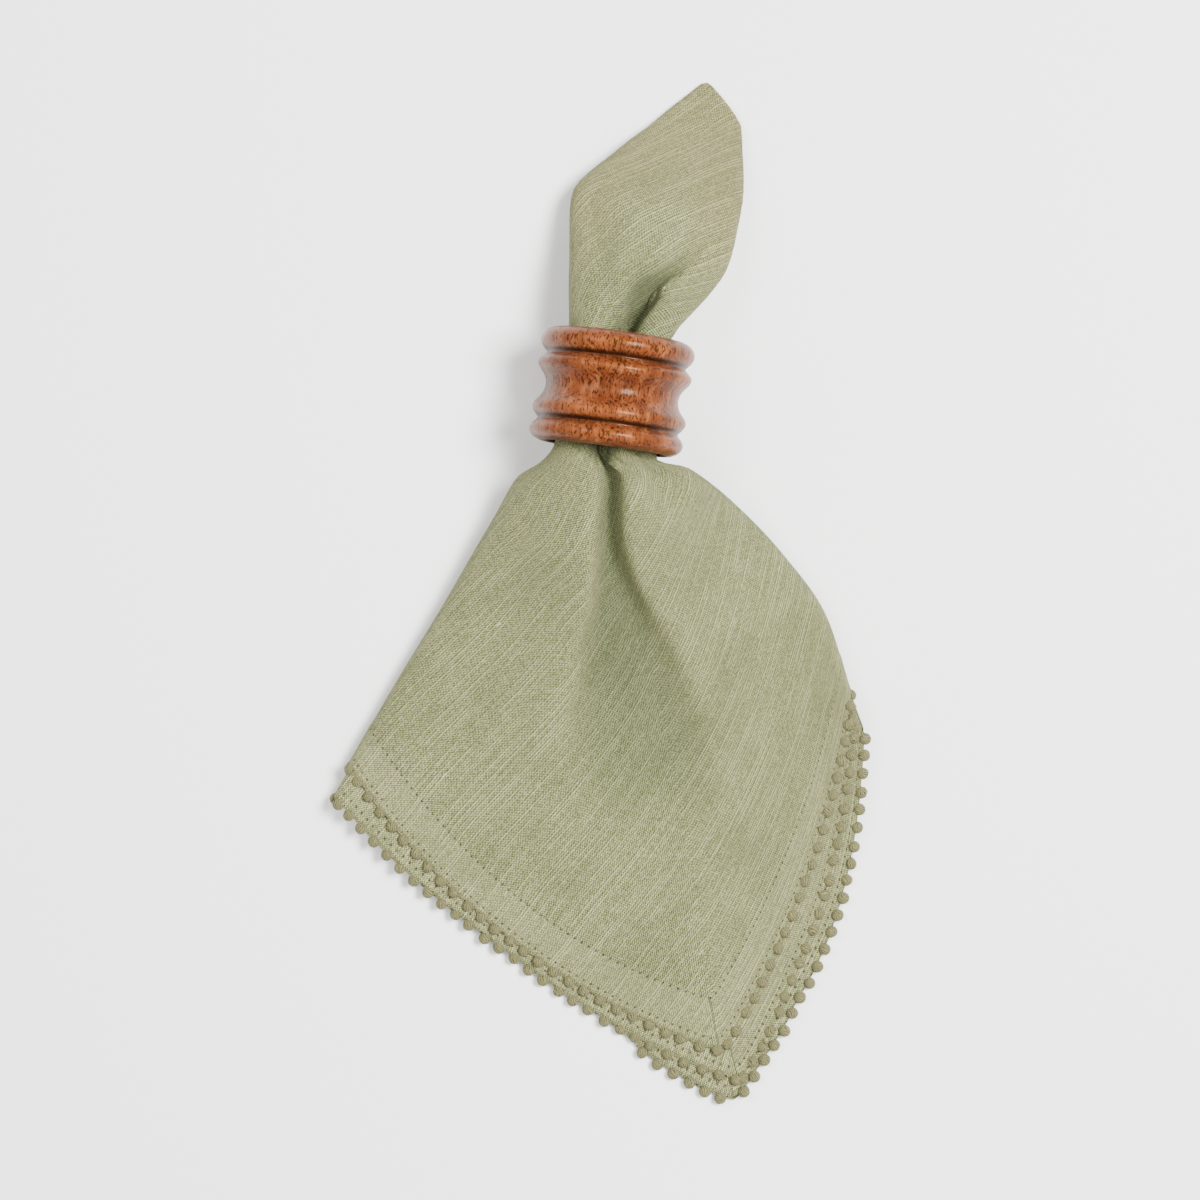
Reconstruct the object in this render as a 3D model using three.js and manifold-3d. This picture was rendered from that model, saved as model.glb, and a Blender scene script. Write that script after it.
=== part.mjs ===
// A square linen napkin with ball trim, folded in quarters and drawn through a turned wooden ring.
// Millimetres, +Z up. The napkin lies on the table at z = 0, its folded centre towards +Y.
// The folded stack is followed from its tip (the centre of the square) to its hem in stations, each
// the distance from the tip along the diagonal. At each station the stack has one cross-section:
// a front panel, a roll at each side and two flaps turned under.
import * as THREE from "three";
import { mergeVertices } from "three/addons/utils/BufferGeometryUtils.js";
import Module from "manifold-3d";

const wasm = await Module();
wasm.setup();

// Sizes, in millimetres
const HALF_SIDE = 254; // half of the square's side, and the side of the folded quarter
const NECK_END = 138; // station where the stack leaves the ring
const HEM = HALF_SIDE * Math.SQRT2; // station of the corner at the hem
const STACK = 2.4; // the four layers pressed together in the flap and the ring
const LAYER = 1.0; // one layer where they part
const PARTING = 0.3; // between two layers at the hem
const PART_FROM = 214; // the layers part from here
const PART_FULL = 262; // and are fully apart from here
const RING = { x: 4.2, y: 72.0, tilt: -7.6, length: 40, outer: 27, bore: 20.8 };

// The sections. left/right: the silhouettes in plan; mid: where the diagonal lies on the line between
// them; bow: how far it lies beyond that line; corner: 0 for an even arc, 1 for the corner of the hem;
// top: height over the diagonal; back: height of the underside; roll: radius at the sides;
// wrap: how far round the side roll the cloth goes; under: how far the turned flaps bow.
const COLUMNS = "station lx ly rx ry mid bow corner top back roll wrap under".split(" ");
const SECTIONS = [
  [2, 36.7, 182.2, 39.2, 181.6, 0.5, 0.3, 1, 2.6, -9.6, 6, 0, 0],
  [10, 30.2, 177.0, 45.0, 174.6, 0.5, 3.4, 0.8, 3.6, -9.0, 6, 0, 0],
  [20, 21.7, 170.6, 49.9, 165.6, 0.5, 5.0, 0.5, 7.0, -7.6, 6, 0.25, 0],
  [40, 5.5, 158.2, 50.8, 145.6, 0.5, 5.5, 0.2, 16.0, 0.5, 5.5, 0.9, 0],
  [60, -10.0, 142.6, 47.7, 126.3, 0.56, 5.0, 0, 27.0, 2.2, 8.0, 1, 0],
  [70, -10.8, 132.7, 44.4, 115.4, 0.6, 4.0, 0, 33.0, 3.6, 10.0, 1, 0],
  [80, -10.8, 121.4, 38.7, 107.0, 0.65, 2.5, 0, 38.5, 5.4, 12.5, 1, 0],
  [90, -11.2, 106.0, 31.6, 98.8, 0.69, 0.5, 0, 43.0, 6.4, 16.5, 1, 0],
  [97, -12.0, 95.2, 25.4, 90.2, 0.7, 0, 0, 45.4, 6.5, 18.5, 1, 0],
  [118, -14.4, 74.5, 22.8, 69.5, 0.66, 0, 0, 45.4, 6.5, 18.5, 1, 0],
  [138, -17.0, 54.4, 20.2, 49.4, 0.62, 0, 0, 45.4, 6.5, 18.5, 1, 0],
  [149, -20.6, 48.2, 30.4, 46.2, 0.62, 4.6, 0, 44.0, 6.2, 16.0, 1, 1],
  [165, -29.0, 43.0, 38.6, 41.0, 0.62, 15.6, 0, 39.6, 3.2, 13.2, 1, 4],
  [193, -37.0, 29.7, 44.5, 36.5, 0.605, 34.9, 0.1, 32.0, 0, 10.6, 1, 9],
  [248, -54.4, 0.3, 64.0, 17.0, 0.591, 63.8, 0.35, 19.5, 0, 7.6, 1, 14],
  [304, -71.7, -28.1, 80.0, -5.4, 0.605, 91.7, 0.7, 10.5, 0, 6.2, 1, 16],
  [HEM, -88.5, -57.0, 88.5, -31.8, 0.646, 119.4, 1, 4.4, 0, 5.7, 1, 18],
];
const BULGE = { left: 14, right: 7 }; // of the two hems in plan, at the hem
const COVER = { over: 10.6, table: 4.9, from: 5, to: 24 }; // the front clears the flaps, then lies flat

// The folds, each a table of station, place, depth, half-width, flatness and steepness, which is the
// right half-width over the left one. A place from 0 to 1 runs across the front, below 0 under the left
// flap and above 1 under the right one.
const FOLDS = {
  main: [
    [48, 0.86, 0, 9, 2, 1],
    [60, 0.82, 1.8, 9, 2, 0.7],
    [70, 0.745, 6, 8, 2, 0.45],
    [80, 0.665, 12, 8, 2, 0.36],
    [90, 0.625, 17, 7, 2, 0.36],
    [98, 0.61, 18, 6, 2, 0.4],
    [118, 0.54, 14, 6, 2, 0.6],
    [138, 0.465, 11.5, 4.2, 2, 1],
    [150, 0.475, 11, 3.8, 2, 1],
    [160, 0.48, 10.5, 3.8, 2, 1],
    [172, 0.488, 10, 4.4, 3, 1],
    [182, 0.492, 10, 6.4, 4, 1],
    [192, 0.493, 9.8, 9, 5, 1],
    [206, 0.493, 9.4, 13.5, 5, 1],
    [222, 0.49, 8.8, 18.8, 6, 1],
    [248, 0.484, 6.6, 26.4, 6, 1],
    [270, 0.474, 3.2, 31, 5, 1],
    [288, 0.464, 1.2, 33, 4, 1],
    [312, 0.46, 0, 35, 4, 1],
  ],
  lobeEdge: [
    [64, 0.44, 0, 3, 2, 2],
    [74, 0.465, 1.2, 3, 2, 2],
    [82, 0.51, 2.2, 3, 2, 2],
    [90, 0.56, 2.6, 3, 2, 1.5],
    [100, 0.58, 0, 3, 2, 1],
  ],
  rightCrease: [
    [66, 0.97, 0, 4, 2, 1],
    [78, 0.92, 1.8, 4, 2, 1],
    [88, 0.86, 3, 4, 2, 1],
    [98, 0.84, 3, 4, 2, 1],
    [112, 0.84, 0, 4, 2, 1],
  ],
  rightTuck: [
    [128, 0.81, 0, 3, 2, 1],
    [140, 0.8, 5.5, 3, 2, 1],
    [149, 0.79, 6, 3.2, 2, 1],
    [157, 0.77, 2.4, 4, 2, 1],
    [168, 0.75, 0, 5, 2, 1],
  ],
  leftDimple: [
    [56, 0.24, 0, 6, 2, 1],
    [70, 0.24, 1.5, 6, 2, 1],
    [84, 0.24, 0, 6, 2, 1],
  ],
  leftUnder: [
    [88, -0.5, 0, 6, 2, 1],
    [100, -0.5, 7, 5, 2, 1],
    [134, -0.5, 7, 5, 2, 1],
    [150, -0.5, 0, 6, 2, 1],
  ],
  rightUnder: [
    [88, 1.5, 0, 6, 2, 1],
    [100, 1.5, 7, 5, 2, 1],
    [134, 1.5, 7, 5, 2, 1],
    [150, 1.5, 0, 6, 2, 1],
  ],
};

// How far the hem of each lower layer is shifted in plan from the top layer's, at the two ends of the
// hems (back left, back right), the silhouettes, the middles and the corner.
const SHIFT_PLACES = ["backLeft", "left", "midLeft", "corner", "midRight", "right", "backRight"];
const SHIFTS = {
  2: [[1, -3.5], [-3.2, -13.0], [6.0, -10.6], [6.6, -10.6], [6.4, -8.7], [0.6, -4.3], [0, 0]],
  3: [[1, -3.5], [-2.0, -10.5], [6.9, -9.0], [5.2, -18.0], [12.3, -13.0], [3.4, -8.0], [0.5, -4.5]],
  4: [[0, 0], [-1.0, -8.0], [5.5, -7.0], [3.4, -15.0], [9.0, -11.0], [1.0, -3.0], [0.5, -4.5]],
};
const SHIFT_FROM = 250; // the shift grows from this station to the hem

// Ball trim: a tape 0.3 mm off the hem, and balls of four sides at an even pitch
const TAPE = { gap: 0.4, width: 1.1, thick: 0.7, lift: 0.6 };
const BALL = { radius: 2.5, pitch: 6.4, stalk: 0.7, lift: 1.5 };

// A monotone cubic through the rows of a table
function curve(xs, ys) {
  const n = xs.length;
  const h = [], d = [], m = [];
  for (let i = 0; i < n - 1; i++) {
    h.push(xs[i + 1] - xs[i]);
    d.push((ys[i + 1] - ys[i]) / h[i]);
  }
  for (let i = 0; i < n; i++) {
    if (i === 0) m.push(d[0]);
    else if (i === n - 1) m.push(d[n - 2]);
    else if (d[i - 1] * d[i] <= 0) m.push(0);
    else m.push((h[i - 1] + h[i]) / (h[i - 1] / d[i - 1] + h[i] / d[i]));
  }
  return (x) => {
    if (x <= xs[0]) return ys[0] + m[0] * (x - xs[0]);
    if (x >= xs[n - 1]) return ys[n - 1] + m[n - 1] * (x - xs[n - 1]);
    let i = 0;
    while (x > xs[i + 1]) i++;
    const t = (x - xs[i]) / h[i];
    const a = (1 + 2 * t) * (1 - t) ** 2;
    const b = t * (1 - t) ** 2;
    const c = t * t * (3 - 2 * t);
    const e = t * t * (t - 1);
    return a * ys[i] + b * h[i] * m[i] + c * ys[i + 1] + e * h[i] * m[i + 1];
  };
}
const stations = SECTIONS.map((row) => row[0]);
const columnCurves = COLUMNS.slice(1).map((name, k) => [name, curve(stations, SECTIONS.map((row) => row[k + 1]))]);
const sectionAt = (station) => ({ station, ...Object.fromEntries(columnCurves.map(([name, f]) => [name, f(station)])) });
const foldCurves = Object.values(FOLDS).map((rows) => ({
  from: rows[0][0],
  to: rows[rows.length - 1][0],
  parts: [1, 2, 3, 4, 5].map((k) => curve(rows.map((row) => row[0]), rows.map((row) => row[k]))),
}));
const foldsAt = (station) =>
  foldCurves
    .filter((fold) => station > fold.from && station < fold.to)
    .map((fold) => fold.parts.map((f) => f(station)))
    .map(([place, depth, width, flat, steep]) => ({ place, depth, width, flat, steep }));

const smooth = (a, b, x) => {
  const t = Math.min(1, Math.max(0, (x - a) / (b - a)));
  return t * t * (3 - 2 * t);
};

// The front line of a section in plan: an even arc, a corner, or between the two
function planFront(c) {
  const chord = [c.rx - c.lx, c.ry - c.ly];
  const length = Math.hypot(...chord);
  const along = [chord[0] / length, chord[1] / length];
  const out = [along[1], -along[0]];
  const even = c.bow / (4 * c.mid * (1 - c.mid));
  const peak = [c.lx + chord[0] * c.mid + out[0] * c.bow, c.ly + chord[1] * c.mid + out[1] * c.bow];
  const halves = [
    { a: [c.lx, c.ly], b: peak, bulge: BULGE.left },
    { a: peak, b: [c.rx, c.ry], bulge: BULGE.right },
  ];
  return (f) => {
    const arc = [
      c.lx + chord[0] * f + out[0] * even * 4 * f * (1 - f),
      c.ly + chord[1] * f + out[1] * even * 4 * f * (1 - f),
    ];
    const half = f < c.mid ? halves[0] : halves[1];
    const x = f < c.mid ? f / c.mid : (f - c.mid) / (1 - c.mid);
    const side = [half.b[0] - half.a[0], half.b[1] - half.a[1]];
    const size = Math.hypot(...side) || 1;
    const bulge = c.station > NECK_END ? half.bulge * c.corner * 4 * x * (1 - x) : 0;
    const bent = [
      half.a[0] + side[0] * x + (side[1] / size) * bulge,
      half.a[1] + side[1] * x - (side[0] / size) * bulge,
    ];
    return [arc[0] + (bent[0] - arc[0]) * c.corner, arc[1] + (bent[1] - arc[1]) * c.corner];
  };
}

// Points of a plan line by length, for a function of 0 to 1
function byLength(line, steps = 80) {
  const points = [], sums = [0];
  for (let i = 0; i <= steps; i++) {
    points.push(line(i / steps));
    if (i) sums.push(sums[i - 1] + Math.hypot(points[i][0] - points[i - 1][0], points[i][1] - points[i - 1][1]));
  }
  const total = sums[steps];
  return {
    total,
    share(f) {
      const i = Math.min(steps - 1, Math.floor(f * steps));
      return (sums[i] + (sums[i + 1] - sums[i]) * (f * steps - i)) / total;
    },
    at(a) {
      let i = 1;
      while (i < steps && sums[i] < a) i++;
      const t = (a - sums[i - 1]) / (sums[i] - sums[i - 1] || 1);
      return [0, 1].map((k) => points[i - 1][k] + (points[i][k] - points[i - 1][k]) * t);
    },
  };
}

const hemSection = sectionAt(HEM);
// Height of the front where it passes over the turned flaps, and off them
function coverHeight(x, y) {
  const c = hemSection;
  const chord = [c.rx - c.lx, c.ry - c.ly];
  const length = Math.hypot(...chord);
  const along = [chord[0] / length, chord[1] / length];
  const f = ((x - c.lx) * along[0] + (y - c.ly) * along[1]) / length;
  const beyond = (x - c.lx) * along[1] - (y - c.ly) * along[0] - c.under * 4 * f * (1 - f);
  return COVER.over + (COVER.table - COVER.over) * smooth(COVER.from, COVER.to, beyond);
}

// One section before its folds: a list of { p, place } from the left flap's edge to the right one's
const COUNT = { flat: 16, arc: 8, panel: 72 };
function baseSection(station) {
  const c = sectionAt(station);
  const front = byLength(planFront(c));
  const roll = Math.min(c.roll, front.total / 2 - 0.3);
  const start = (Math.PI / 2) * (1 - Math.min(1, c.wrap));
  const inset = roll * (Math.cos(start) - 0);
  const width = front.total;
  const peak = front.share(c.mid); // where the diagonal lies by length
  const shoulder = Math.max(c.back + 2 * roll, c.top - 0.3 * width, STACK + 0.1); // shallow near the tip
  const back = shoulder - 2 * roll;
  const list = [];
  const chord = [c.rx - c.lx, c.ry - c.ly];
  const length = Math.hypot(...chord);
  const out = [chord[1] / length, -chord[0] / length];
  const backLine = byLength((f) => [0, 1].map((k) => [c.lx, c.ly][k] + chord[k] * f + out[k] * c.under * 4 * f * (1 - f)));
  const seam = 0.47;
  const lower = (a, fromRight) => backLine.at(fromRight ? backLine.total - a : a);
  // the turned-under part from a silhouette: a lower quarter round, then flat to near the seam
  const gap = Math.min(3.6, backLine.total * 0.2);
  const leftReach = backLine.total * seam - gap;
  const rightReach = backLine.total * (1 - seam) - gap;
  const turned = (reach, fromRight) => {
    const bend = reach < roll ? Math.acos(1 - reach / roll) : Math.PI / 2;
    const flat = Math.max(0, reach - roll);
    const points = [];
    for (let i = 1; i <= COUNT.arc; i++) {
      const t = (bend * i) / COUNT.arc;
      points.push([roll * (1 - Math.cos(t)), back + roll * (1 - Math.sin(t))]);
    }
    for (let i = 1; i <= COUNT.flat && flat > 0; i++) points.push([roll + (flat * i) / COUNT.flat, back]);
    while (points.length < COUNT.arc + COUNT.flat) {
      // an even count of points in every section
      const at = points.length - 1;
      points.splice(at, 0, [(points[at - 1][0] + points[at][0]) / 2, (points[at - 1][1] + points[at][1]) / 2]);
    }
    return points.map(([a, z]) => ({ p: [...lower(a, fromRight), z], place: fromRight ? 1 + a / reach : -a / reach }));
  };
  list.push(...turned(leftReach, false).reverse());
  // upper part of the left roll
  const firstFront = list.length;
  for (let i = 0; i < COUNT.arc; i++) {
    const t = start + (Math.PI / 2 - start) * (i / COUNT.arc);
    const a = roll * (Math.cos(start) - Math.cos(t));
    list.push({ p: [...front.at(a), back + roll + roll * Math.sin(t)], place: a / width });
  }
  for (let i = 0; i <= COUNT.panel; i++) {
    const g = i / COUNT.panel;
    const a = inset + (width - 2 * inset) * g;
    const y = g < peak ? g / peak : (1 - g) / (1 - peak);
    const rise = 1 - (1 - Math.min(1, y)) ** 2;
    const plan = front.at(a);
    let z = shoulder + (c.top - shoulder) * rise;
    if (station > NECK_END) z = Math.max(z, coverHeight(...plan));
    list.push({ p: [...plan, z], place: a / width });
  }
  for (let i = COUNT.arc - 1; i >= 0; i--) {
    const t = start + (Math.PI / 2 - start) * (i / COUNT.arc);
    const a = roll * (Math.cos(start) - Math.cos(t));
    list.push({ p: [...front.at(width - a), back + roll + roll * Math.sin(t)], place: 1 - a / width });
  }
  const lastFront = list.length - 1;
  list.push(...turned(rightReach, true));
  return { c, list, firstFront, lastFront, width, peak, leftReach, rightReach, roll, wrap: c.wrap };
}

const sub = (a, b) => [a[0] - b[0], a[1] - b[1], a[2] - b[2]];
const add = (a, b, k = 1) => [a[0] + b[0] * k, a[1] + b[1] * k, a[2] + b[2] * k];
const dot = (a, b) => a[0] * b[0] + a[1] * b[1] + a[2] * b[2];
const cross = (a, b) => [a[1] * b[2] - a[2] * b[1], a[2] * b[0] - a[0] * b[2], a[0] * b[1] - a[1] * b[0]];
const unit = (a) => {
  const l = Math.hypot(...a) || 1;
  return [a[0] / l, a[1] / l, a[2] / l];
};
const mix = (a, b, t) => a.map((v, k) => v + (b[k] - v) * t);

// A section with its normals and folds, and the length along it
function foldedSection(station) {
  const here = baseSection(station);
  const before = baseSection(Math.max(2, station - 1.5)).list;
  const after = baseSection(Math.min(HEM, station + 1.5)).list;
  const n = here.list.length;
  const folds = foldsAt(station);
  const points = [], normals = [];
  for (let i = 0; i < n; i++) {
    const ds = sub(here.list[Math.min(n - 1, i + 1)].p, here.list[Math.max(0, i - 1)].p);
    const dr = sub(after[i].p, before[i].p);
    const normal = unit(cross(dr, ds));
    normals.push(normal);
    let depth = 0, sunk = 0; // a fold under a flap goes in along the normal, one in the front goes down
    for (const fold of folds) {
      const scale = fold.place < 0 ? here.leftReach : fold.place > 1 ? here.rightReach : here.width;
      const off = (here.list[i].place - fold.place) * scale;
      const x = Math.abs(off) / (off > 0 ? fold.width * fold.steep : fold.width);
      const push = fold.depth * Math.exp(-(x ** fold.flat) * 0.9);
      if (fold.place > 0 && fold.place < 1) sunk += push;
      else depth += push;
    }
    points.push(add(add(here.list[i].p, normal, -depth), [0, 0, -1], sunk));
  }
  // near the tip, where no side is rolled, the layers lie on one another in one direction
  const flat = 1 - smooth(12, 34, station);
  if (flat > 0) {
    const panel = normals.slice(here.firstFront + COUNT.arc, here.lastFront - COUNT.arc);
    const even = unit(panel.reduce((sum, v) => add(sum, v), [0, 0, 0]));
    normals.forEach((v, i) => (normals[i] = unit(mix(v, even, Math.hypot(...v) < 0.5 ? 1 : flat))));
  }
  const sums = [0];
  for (let i = 1; i < n; i++) sums.push(sums[i - 1] + Math.hypot(...sub(points[i], points[i - 1])));
  return { ...here, points, normals, sums };
}

// Length along a section from its start to the diagonal
function diagonalLength(section) {
  const at = section.firstFront + COUNT.arc + section.peak * COUNT.panel;
  const i = Math.floor(at);
  return section.sums[i] + (section.sums[i + 1] - section.sums[i]) * (at - i);
}

// Length of cloth from the diagonal to the folded edge at a station
const halfCloth = (station) =>
  station <= NECK_END
    ? (station * Math.PI) / 4
    : (NECK_END * Math.PI) / 4 + ((station - NECK_END) / (HEM - NECK_END)) * (HALF_SIDE - (NECK_END * Math.PI) / 4);

// Rays of the solid: counts in the left flap, roll, front, front, roll, right flap
const RAYS = { flap: 4, roll: 4, front: 13 };
const RAY_COUNT = 2 * (RAYS.flap + RAYS.roll + RAYS.front);
const MIDDLE = RAY_COUNT / 2;
function raysOf(station) {
  const s = foldedSection(station);
  const middle = diagonalLength(s);
  const cloth = halfCloth(station);
  const left = s.sums[s.firstFront], right = s.sums[s.lastFront];
  const total = s.sums[s.sums.length - 1];
  // the sides are turned under only where the side rolls are whole
  const held = smooth(0.85, 1, s.wrap);
  const startAt = left - held * (left - Math.min(left, Math.max(0, middle - cloth)));
  const endAt = right + held * (Math.max(right, Math.min(total, middle + cloth)) - right);
  const quarter = (Math.PI / 2) * s.roll;
  const marks = [];
  const spread = (from, to, count) => {
    for (let i = 0; i < count; i++) marks.push(from + ((to - from) * i) / count);
  };
  const lowLeft = Math.max(startAt + 0.25 * (left - startAt), left - quarter);
  const lowRight = Math.min(endAt - 0.25 * (endAt - right), right + quarter);
  const highLeft = left + quarter, highRight = right - quarter;
  spread(startAt, lowLeft, RAYS.flap);
  spread(lowLeft, left, RAYS.roll / 2);
  spread(left, highLeft, RAYS.roll / 2);
  spread(highLeft, middle, RAYS.front);
  spread(middle, highRight, RAYS.front);
  spread(highRight, right, RAYS.roll / 2);
  spread(right, lowRight, RAYS.roll / 2);
  spread(lowRight, endAt, RAYS.flap);
  marks.push(endAt);
  // even spacing where the cloth isn't turned under
  const featured = smooth(20, 80, Math.min(left - startAt, endAt - right) * 8);
  const even = marks.map((_, j) =>
    j < MIDDLE ? startAt + ((middle - startAt) * j) / MIDDLE : middle + ((endAt - middle) * (j - MIDDLE)) / MIDDLE,
  );
  return marks.map((mark, j) => {
    const a = mark * featured + even[j] * (1 - featured);
    let i = 1;
    while (i < s.sums.length - 1 && s.sums[i] < a) i++;
    const t = (a - s.sums[i - 1]) / (s.sums[i] - s.sums[i - 1] || 1);
    return { p: mix(s.points[i - 1], s.points[i], t), n: unit(mix(s.normals[i - 1], s.normals[i], t)) };
  });
}

// Shift of a layer's hem at a ray
const hemStart = raysOf(HEM);
const places = [0, RAYS.flap + RAYS.roll / 2, 0, MIDDLE, 0, RAY_COUNT - RAYS.flap - RAYS.roll / 2, RAY_COUNT];
places[2] = Math.round((places[1] * 0.45 + MIDDLE * 0.55));
places[4] = Math.round((places[5] * 0.4 + MIDDLE * 0.6));
function shiftOf(layer, ray, station, normal, lowest) {
  if (layer === 1) return [0, 0, 0];
  const rows = SHIFTS[layer];
  const grow = Math.max(0, (station - SHIFT_FROM) / (HEM - SHIFT_FROM)) ** 1.5;
  const [x, y] = [0, 1].map((k) => curve(places, rows.map((row) => row[k]))(ray) * grow);
  // the shift lies in the surface of the cloth, and stops at the table
  const shift = add([x, y, 0], normal, -dot([x, y, 0], normal));
  const rest = (4 - layer) * (LAYER + PARTING) * smooth(PART_FROM, PART_FULL, station);
  if (normal[2] > 0.5) shift[2] = Math.max(shift[2], Math.min(0, rest - lowest));
  if (normal[2] < -0.9) shift[2] = 0;
  return shift;
}

const FUSED = [2, 8, 16, 26, 36, 46, 56, 65, 74, 83, 91, 97, 105, 118, 130, 138, 144, 151, 160, 172, 186, 200, PART_FROM];
const PARTED = [PART_FROM, 232, 252, 274, 296, 318, 338, HEM];

// Surfaces: depth of the top and the bottom of each layer below the outer face
function layerDepths(station) {
  const open = smooth(PART_FROM, PART_FULL, station);
  const thick = STACK / 4 + (LAYER - STACK / 4) * open;
  const gap = PARTING * open;
  return [1, 2, 3, 4].map((k) => ({ top: (k - 1) * (thick + gap), bottom: (k - 1) * (thick + gap) + thick }));
}

// Solid of the cloth: vertices in loops, one list of triangles
const vertices = [];
const triangles = [];
const put = ([x, y, z]) => vertices.push([x, y, Math.max(0, z)]) - 1; // nothing lies below the table
const quad = (a, b, c, d) => {
  if (a !== b && b !== c && a !== c) triangles.push([a, b, c]);
  if (a !== c && c !== d && a !== d) triangles.push([a, c, d]);
};
const joinLoops = (upper, lower, flip = false) => {
  for (let i = 0; i < upper.length; i++) {
    const j = (i + 1) % upper.length;
    if (flip) quad(upper[i], upper[j], lower[j], lower[i]);
    else quad(upper[i], lower[i], lower[j], upper[j]);
  }
};
// point beyond a folded edge, out of the ends of a row
const edgePoint = (rays, station, end, depth, out) => {
  const a = end === 0 ? rays[0] : rays[RAY_COUNT];
  const b = end === 0 ? rays[1] : rays[RAY_COUNT - 1];
  const away = unit(sub(a.p, b.p));
  return add(add(a.p, a.n, -depth), away, out);
};

function fusedLoop(station) {
  const rays = raysOf(station);
  const depth = STACK;
  const loop = rays.map((ray) => put(ray.p));
  for (const part of [0.25, 0.5, 0.75])
    loop.push(put(edgePoint(rays, station, 1, depth * part, 0.45 * Math.sin(part * Math.PI) * depth)));
  for (let j = RAY_COUNT; j >= 0; j--) loop.push(put(add(rays[j].p, rays[j].n, -depth)));
  loop.push(put(edgePoint(rays, station, 0, depth / 2, 0.45 * depth)));
  return loop;
}

const n = RAY_COUNT;
let above = null;
const fusedLoops = FUSED.map((station) => fusedLoop(station));
// closed tip
for (let j = 0; j < n; j++) {
  const loop = fusedLoops[0];
  const size = loop.length;
  const low = (k) => loop[n + 4 + (n - k)];
  quad(loop[j], loop[j + 1], low(j + 1), low(j));
}
{
  const loop = fusedLoops[0];
  triangles.push([loop[n], loop[n + 1], loop[n + 2]], [loop[n], loop[n + 2], loop[n + 3]], [loop[n], loop[n + 3], loop[n + 4]]);
  triangles.push([loop[0], loop[n + 4 + n], loop[loop.length - 1]]);
}
for (let i = 0; i + 1 < fusedLoops.length; i++) joinLoops(fusedLoops[i], fusedLoops[i + 1]);

// The parted layers: an outer loop P and an inner loop Q round the band that a section of the folded
// square makes. The first pair of loops starts at the last fused section.
const last = fusedLoops[fusedLoops.length - 1];
const splitRays = raysOf(PART_FROM);
const inner = (k) => splitRays.map((ray) => put(add(ray.p, ray.n, (-STACK * k) / 4)));
const [second, third, fourth] = [inner(1), inner(2), inner(3)];
third[n] = last[n + 2];
const tuckAt = (rays, depth) => put(add(add(rays[0].p, rays[0].n, -depth), unit(sub(rays[0].p, rays[1].p)), 0.2));
const splitTuck = tuckAt(splitRays, STACK / 2);
const loopsP = [], loopsQ = [], hems = [];
const asLoops = (tops, bottoms, cap12, cap34, cap14, tuckOut, tuckIn) => {
  const P = [
    ...tops[1], cap12, ...[...bottoms[2]].reverse(),
    ...tops[3], cap34, ...[...bottoms[4]].reverse(), cap14,
  ];
  const Q = [
    ...bottoms[1], ...[...tops[2]].reverse(), tuckOut,
    ...bottoms[3], ...[...tops[4]].reverse(), tuckIn,
  ];
  return [P, Q];
};
{
  const tops = { 1: last.slice(0, n + 1), 2: second, 3: third, 4: fourth };
  const bottoms = { 1: second, 2: third, 3: fourth, 4: last.slice(n + 4, 2 * n + 5).reverse() };
  const [P, Q] = asLoops(tops, bottoms, last[n + 1], last[n + 3], last[last.length - 1], splitTuck, splitTuck);
  loopsP.push(P);
  loopsQ.push(Q);
}
for (const station of PARTED.slice(1)) {
  const rays = raysOf(station);
  const depths = layerDepths(station);
  const inset = smooth(PART_FROM, PART_FULL, station) * (LAYER + PARTING);
  const tops = {}, bottoms = {};
  for (const layer of [1, 2, 3, 4]) {
    const { top, bottom } = depths[layer - 1];
    const at = (depth) =>
      rays.map((ray, j) => {
        let p = add(ray.p, ray.n, -depth);
        const lowest = ray.p[2] - ray.n[2] * bottom;
        // the inner fold of layers 2 and 3 lies inside that of layers 1 and 4
        if (j === 0 && (layer === 2 || layer === 3)) {
          const along = unit(sub(rays[1].p, ray.p));
          p = add(p, along, inset);
        }
        return add(p, shiftOf(layer, j, station, ray.n, lowest));
      });
    tops[layer] = at(top);
    bottoms[layer] = at(bottom);
  }
  const ids = (points) => points.map((p) => put(p));
  const T = {}, B = {};
  for (const layer of [1, 2, 3, 4]) {
    T[layer] = ids(tops[layer]);
    B[layer] = ids(bottoms[layer]);
  }
  // layers join at the folded edges
  T[2][n] = B[1][n];
  T[4][n] = B[3][n];
  T[3][0] = B[2][0];
  const away = (end) => unit(end ? sub(rays[n].p, rays[n - 1].p) : sub(rays[0].p, rays[1].p));
  const middleOf = (a, b, out, end) => add(mix(a, b, 0.5), away(end), out);
  const cap12 = put(middleOf(tops[1][n], bottoms[2][n], 0.5, 1));
  const cap34 = put(middleOf(tops[3][n], bottoms[4][n], 0.5, 1));
  const cap14 = put(middleOf(tops[1][0], bottoms[4][0], 1.0, 0));
  const tuckOut = put(middleOf(tops[2][0], bottoms[3][0], 0.5, 0));
  const tuckIn = put(middleOf(bottoms[1][0], tops[4][0], 0.3, 0));
  const [P, Q] = asLoops(T, B, cap12, cap34, cap14, tuckOut, tuckIn);
  loopsP.push(P);
  loopsQ.push(Q);
  hems.push({ tops, bottoms, rays, station });
}
for (let i = 0; i + 1 < loopsP.length; i++) {
  joinLoops(loopsP[i], loopsP[i + 1]);
  joinLoops(loopsQ[i], loopsQ[i + 1], true);
}
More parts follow.
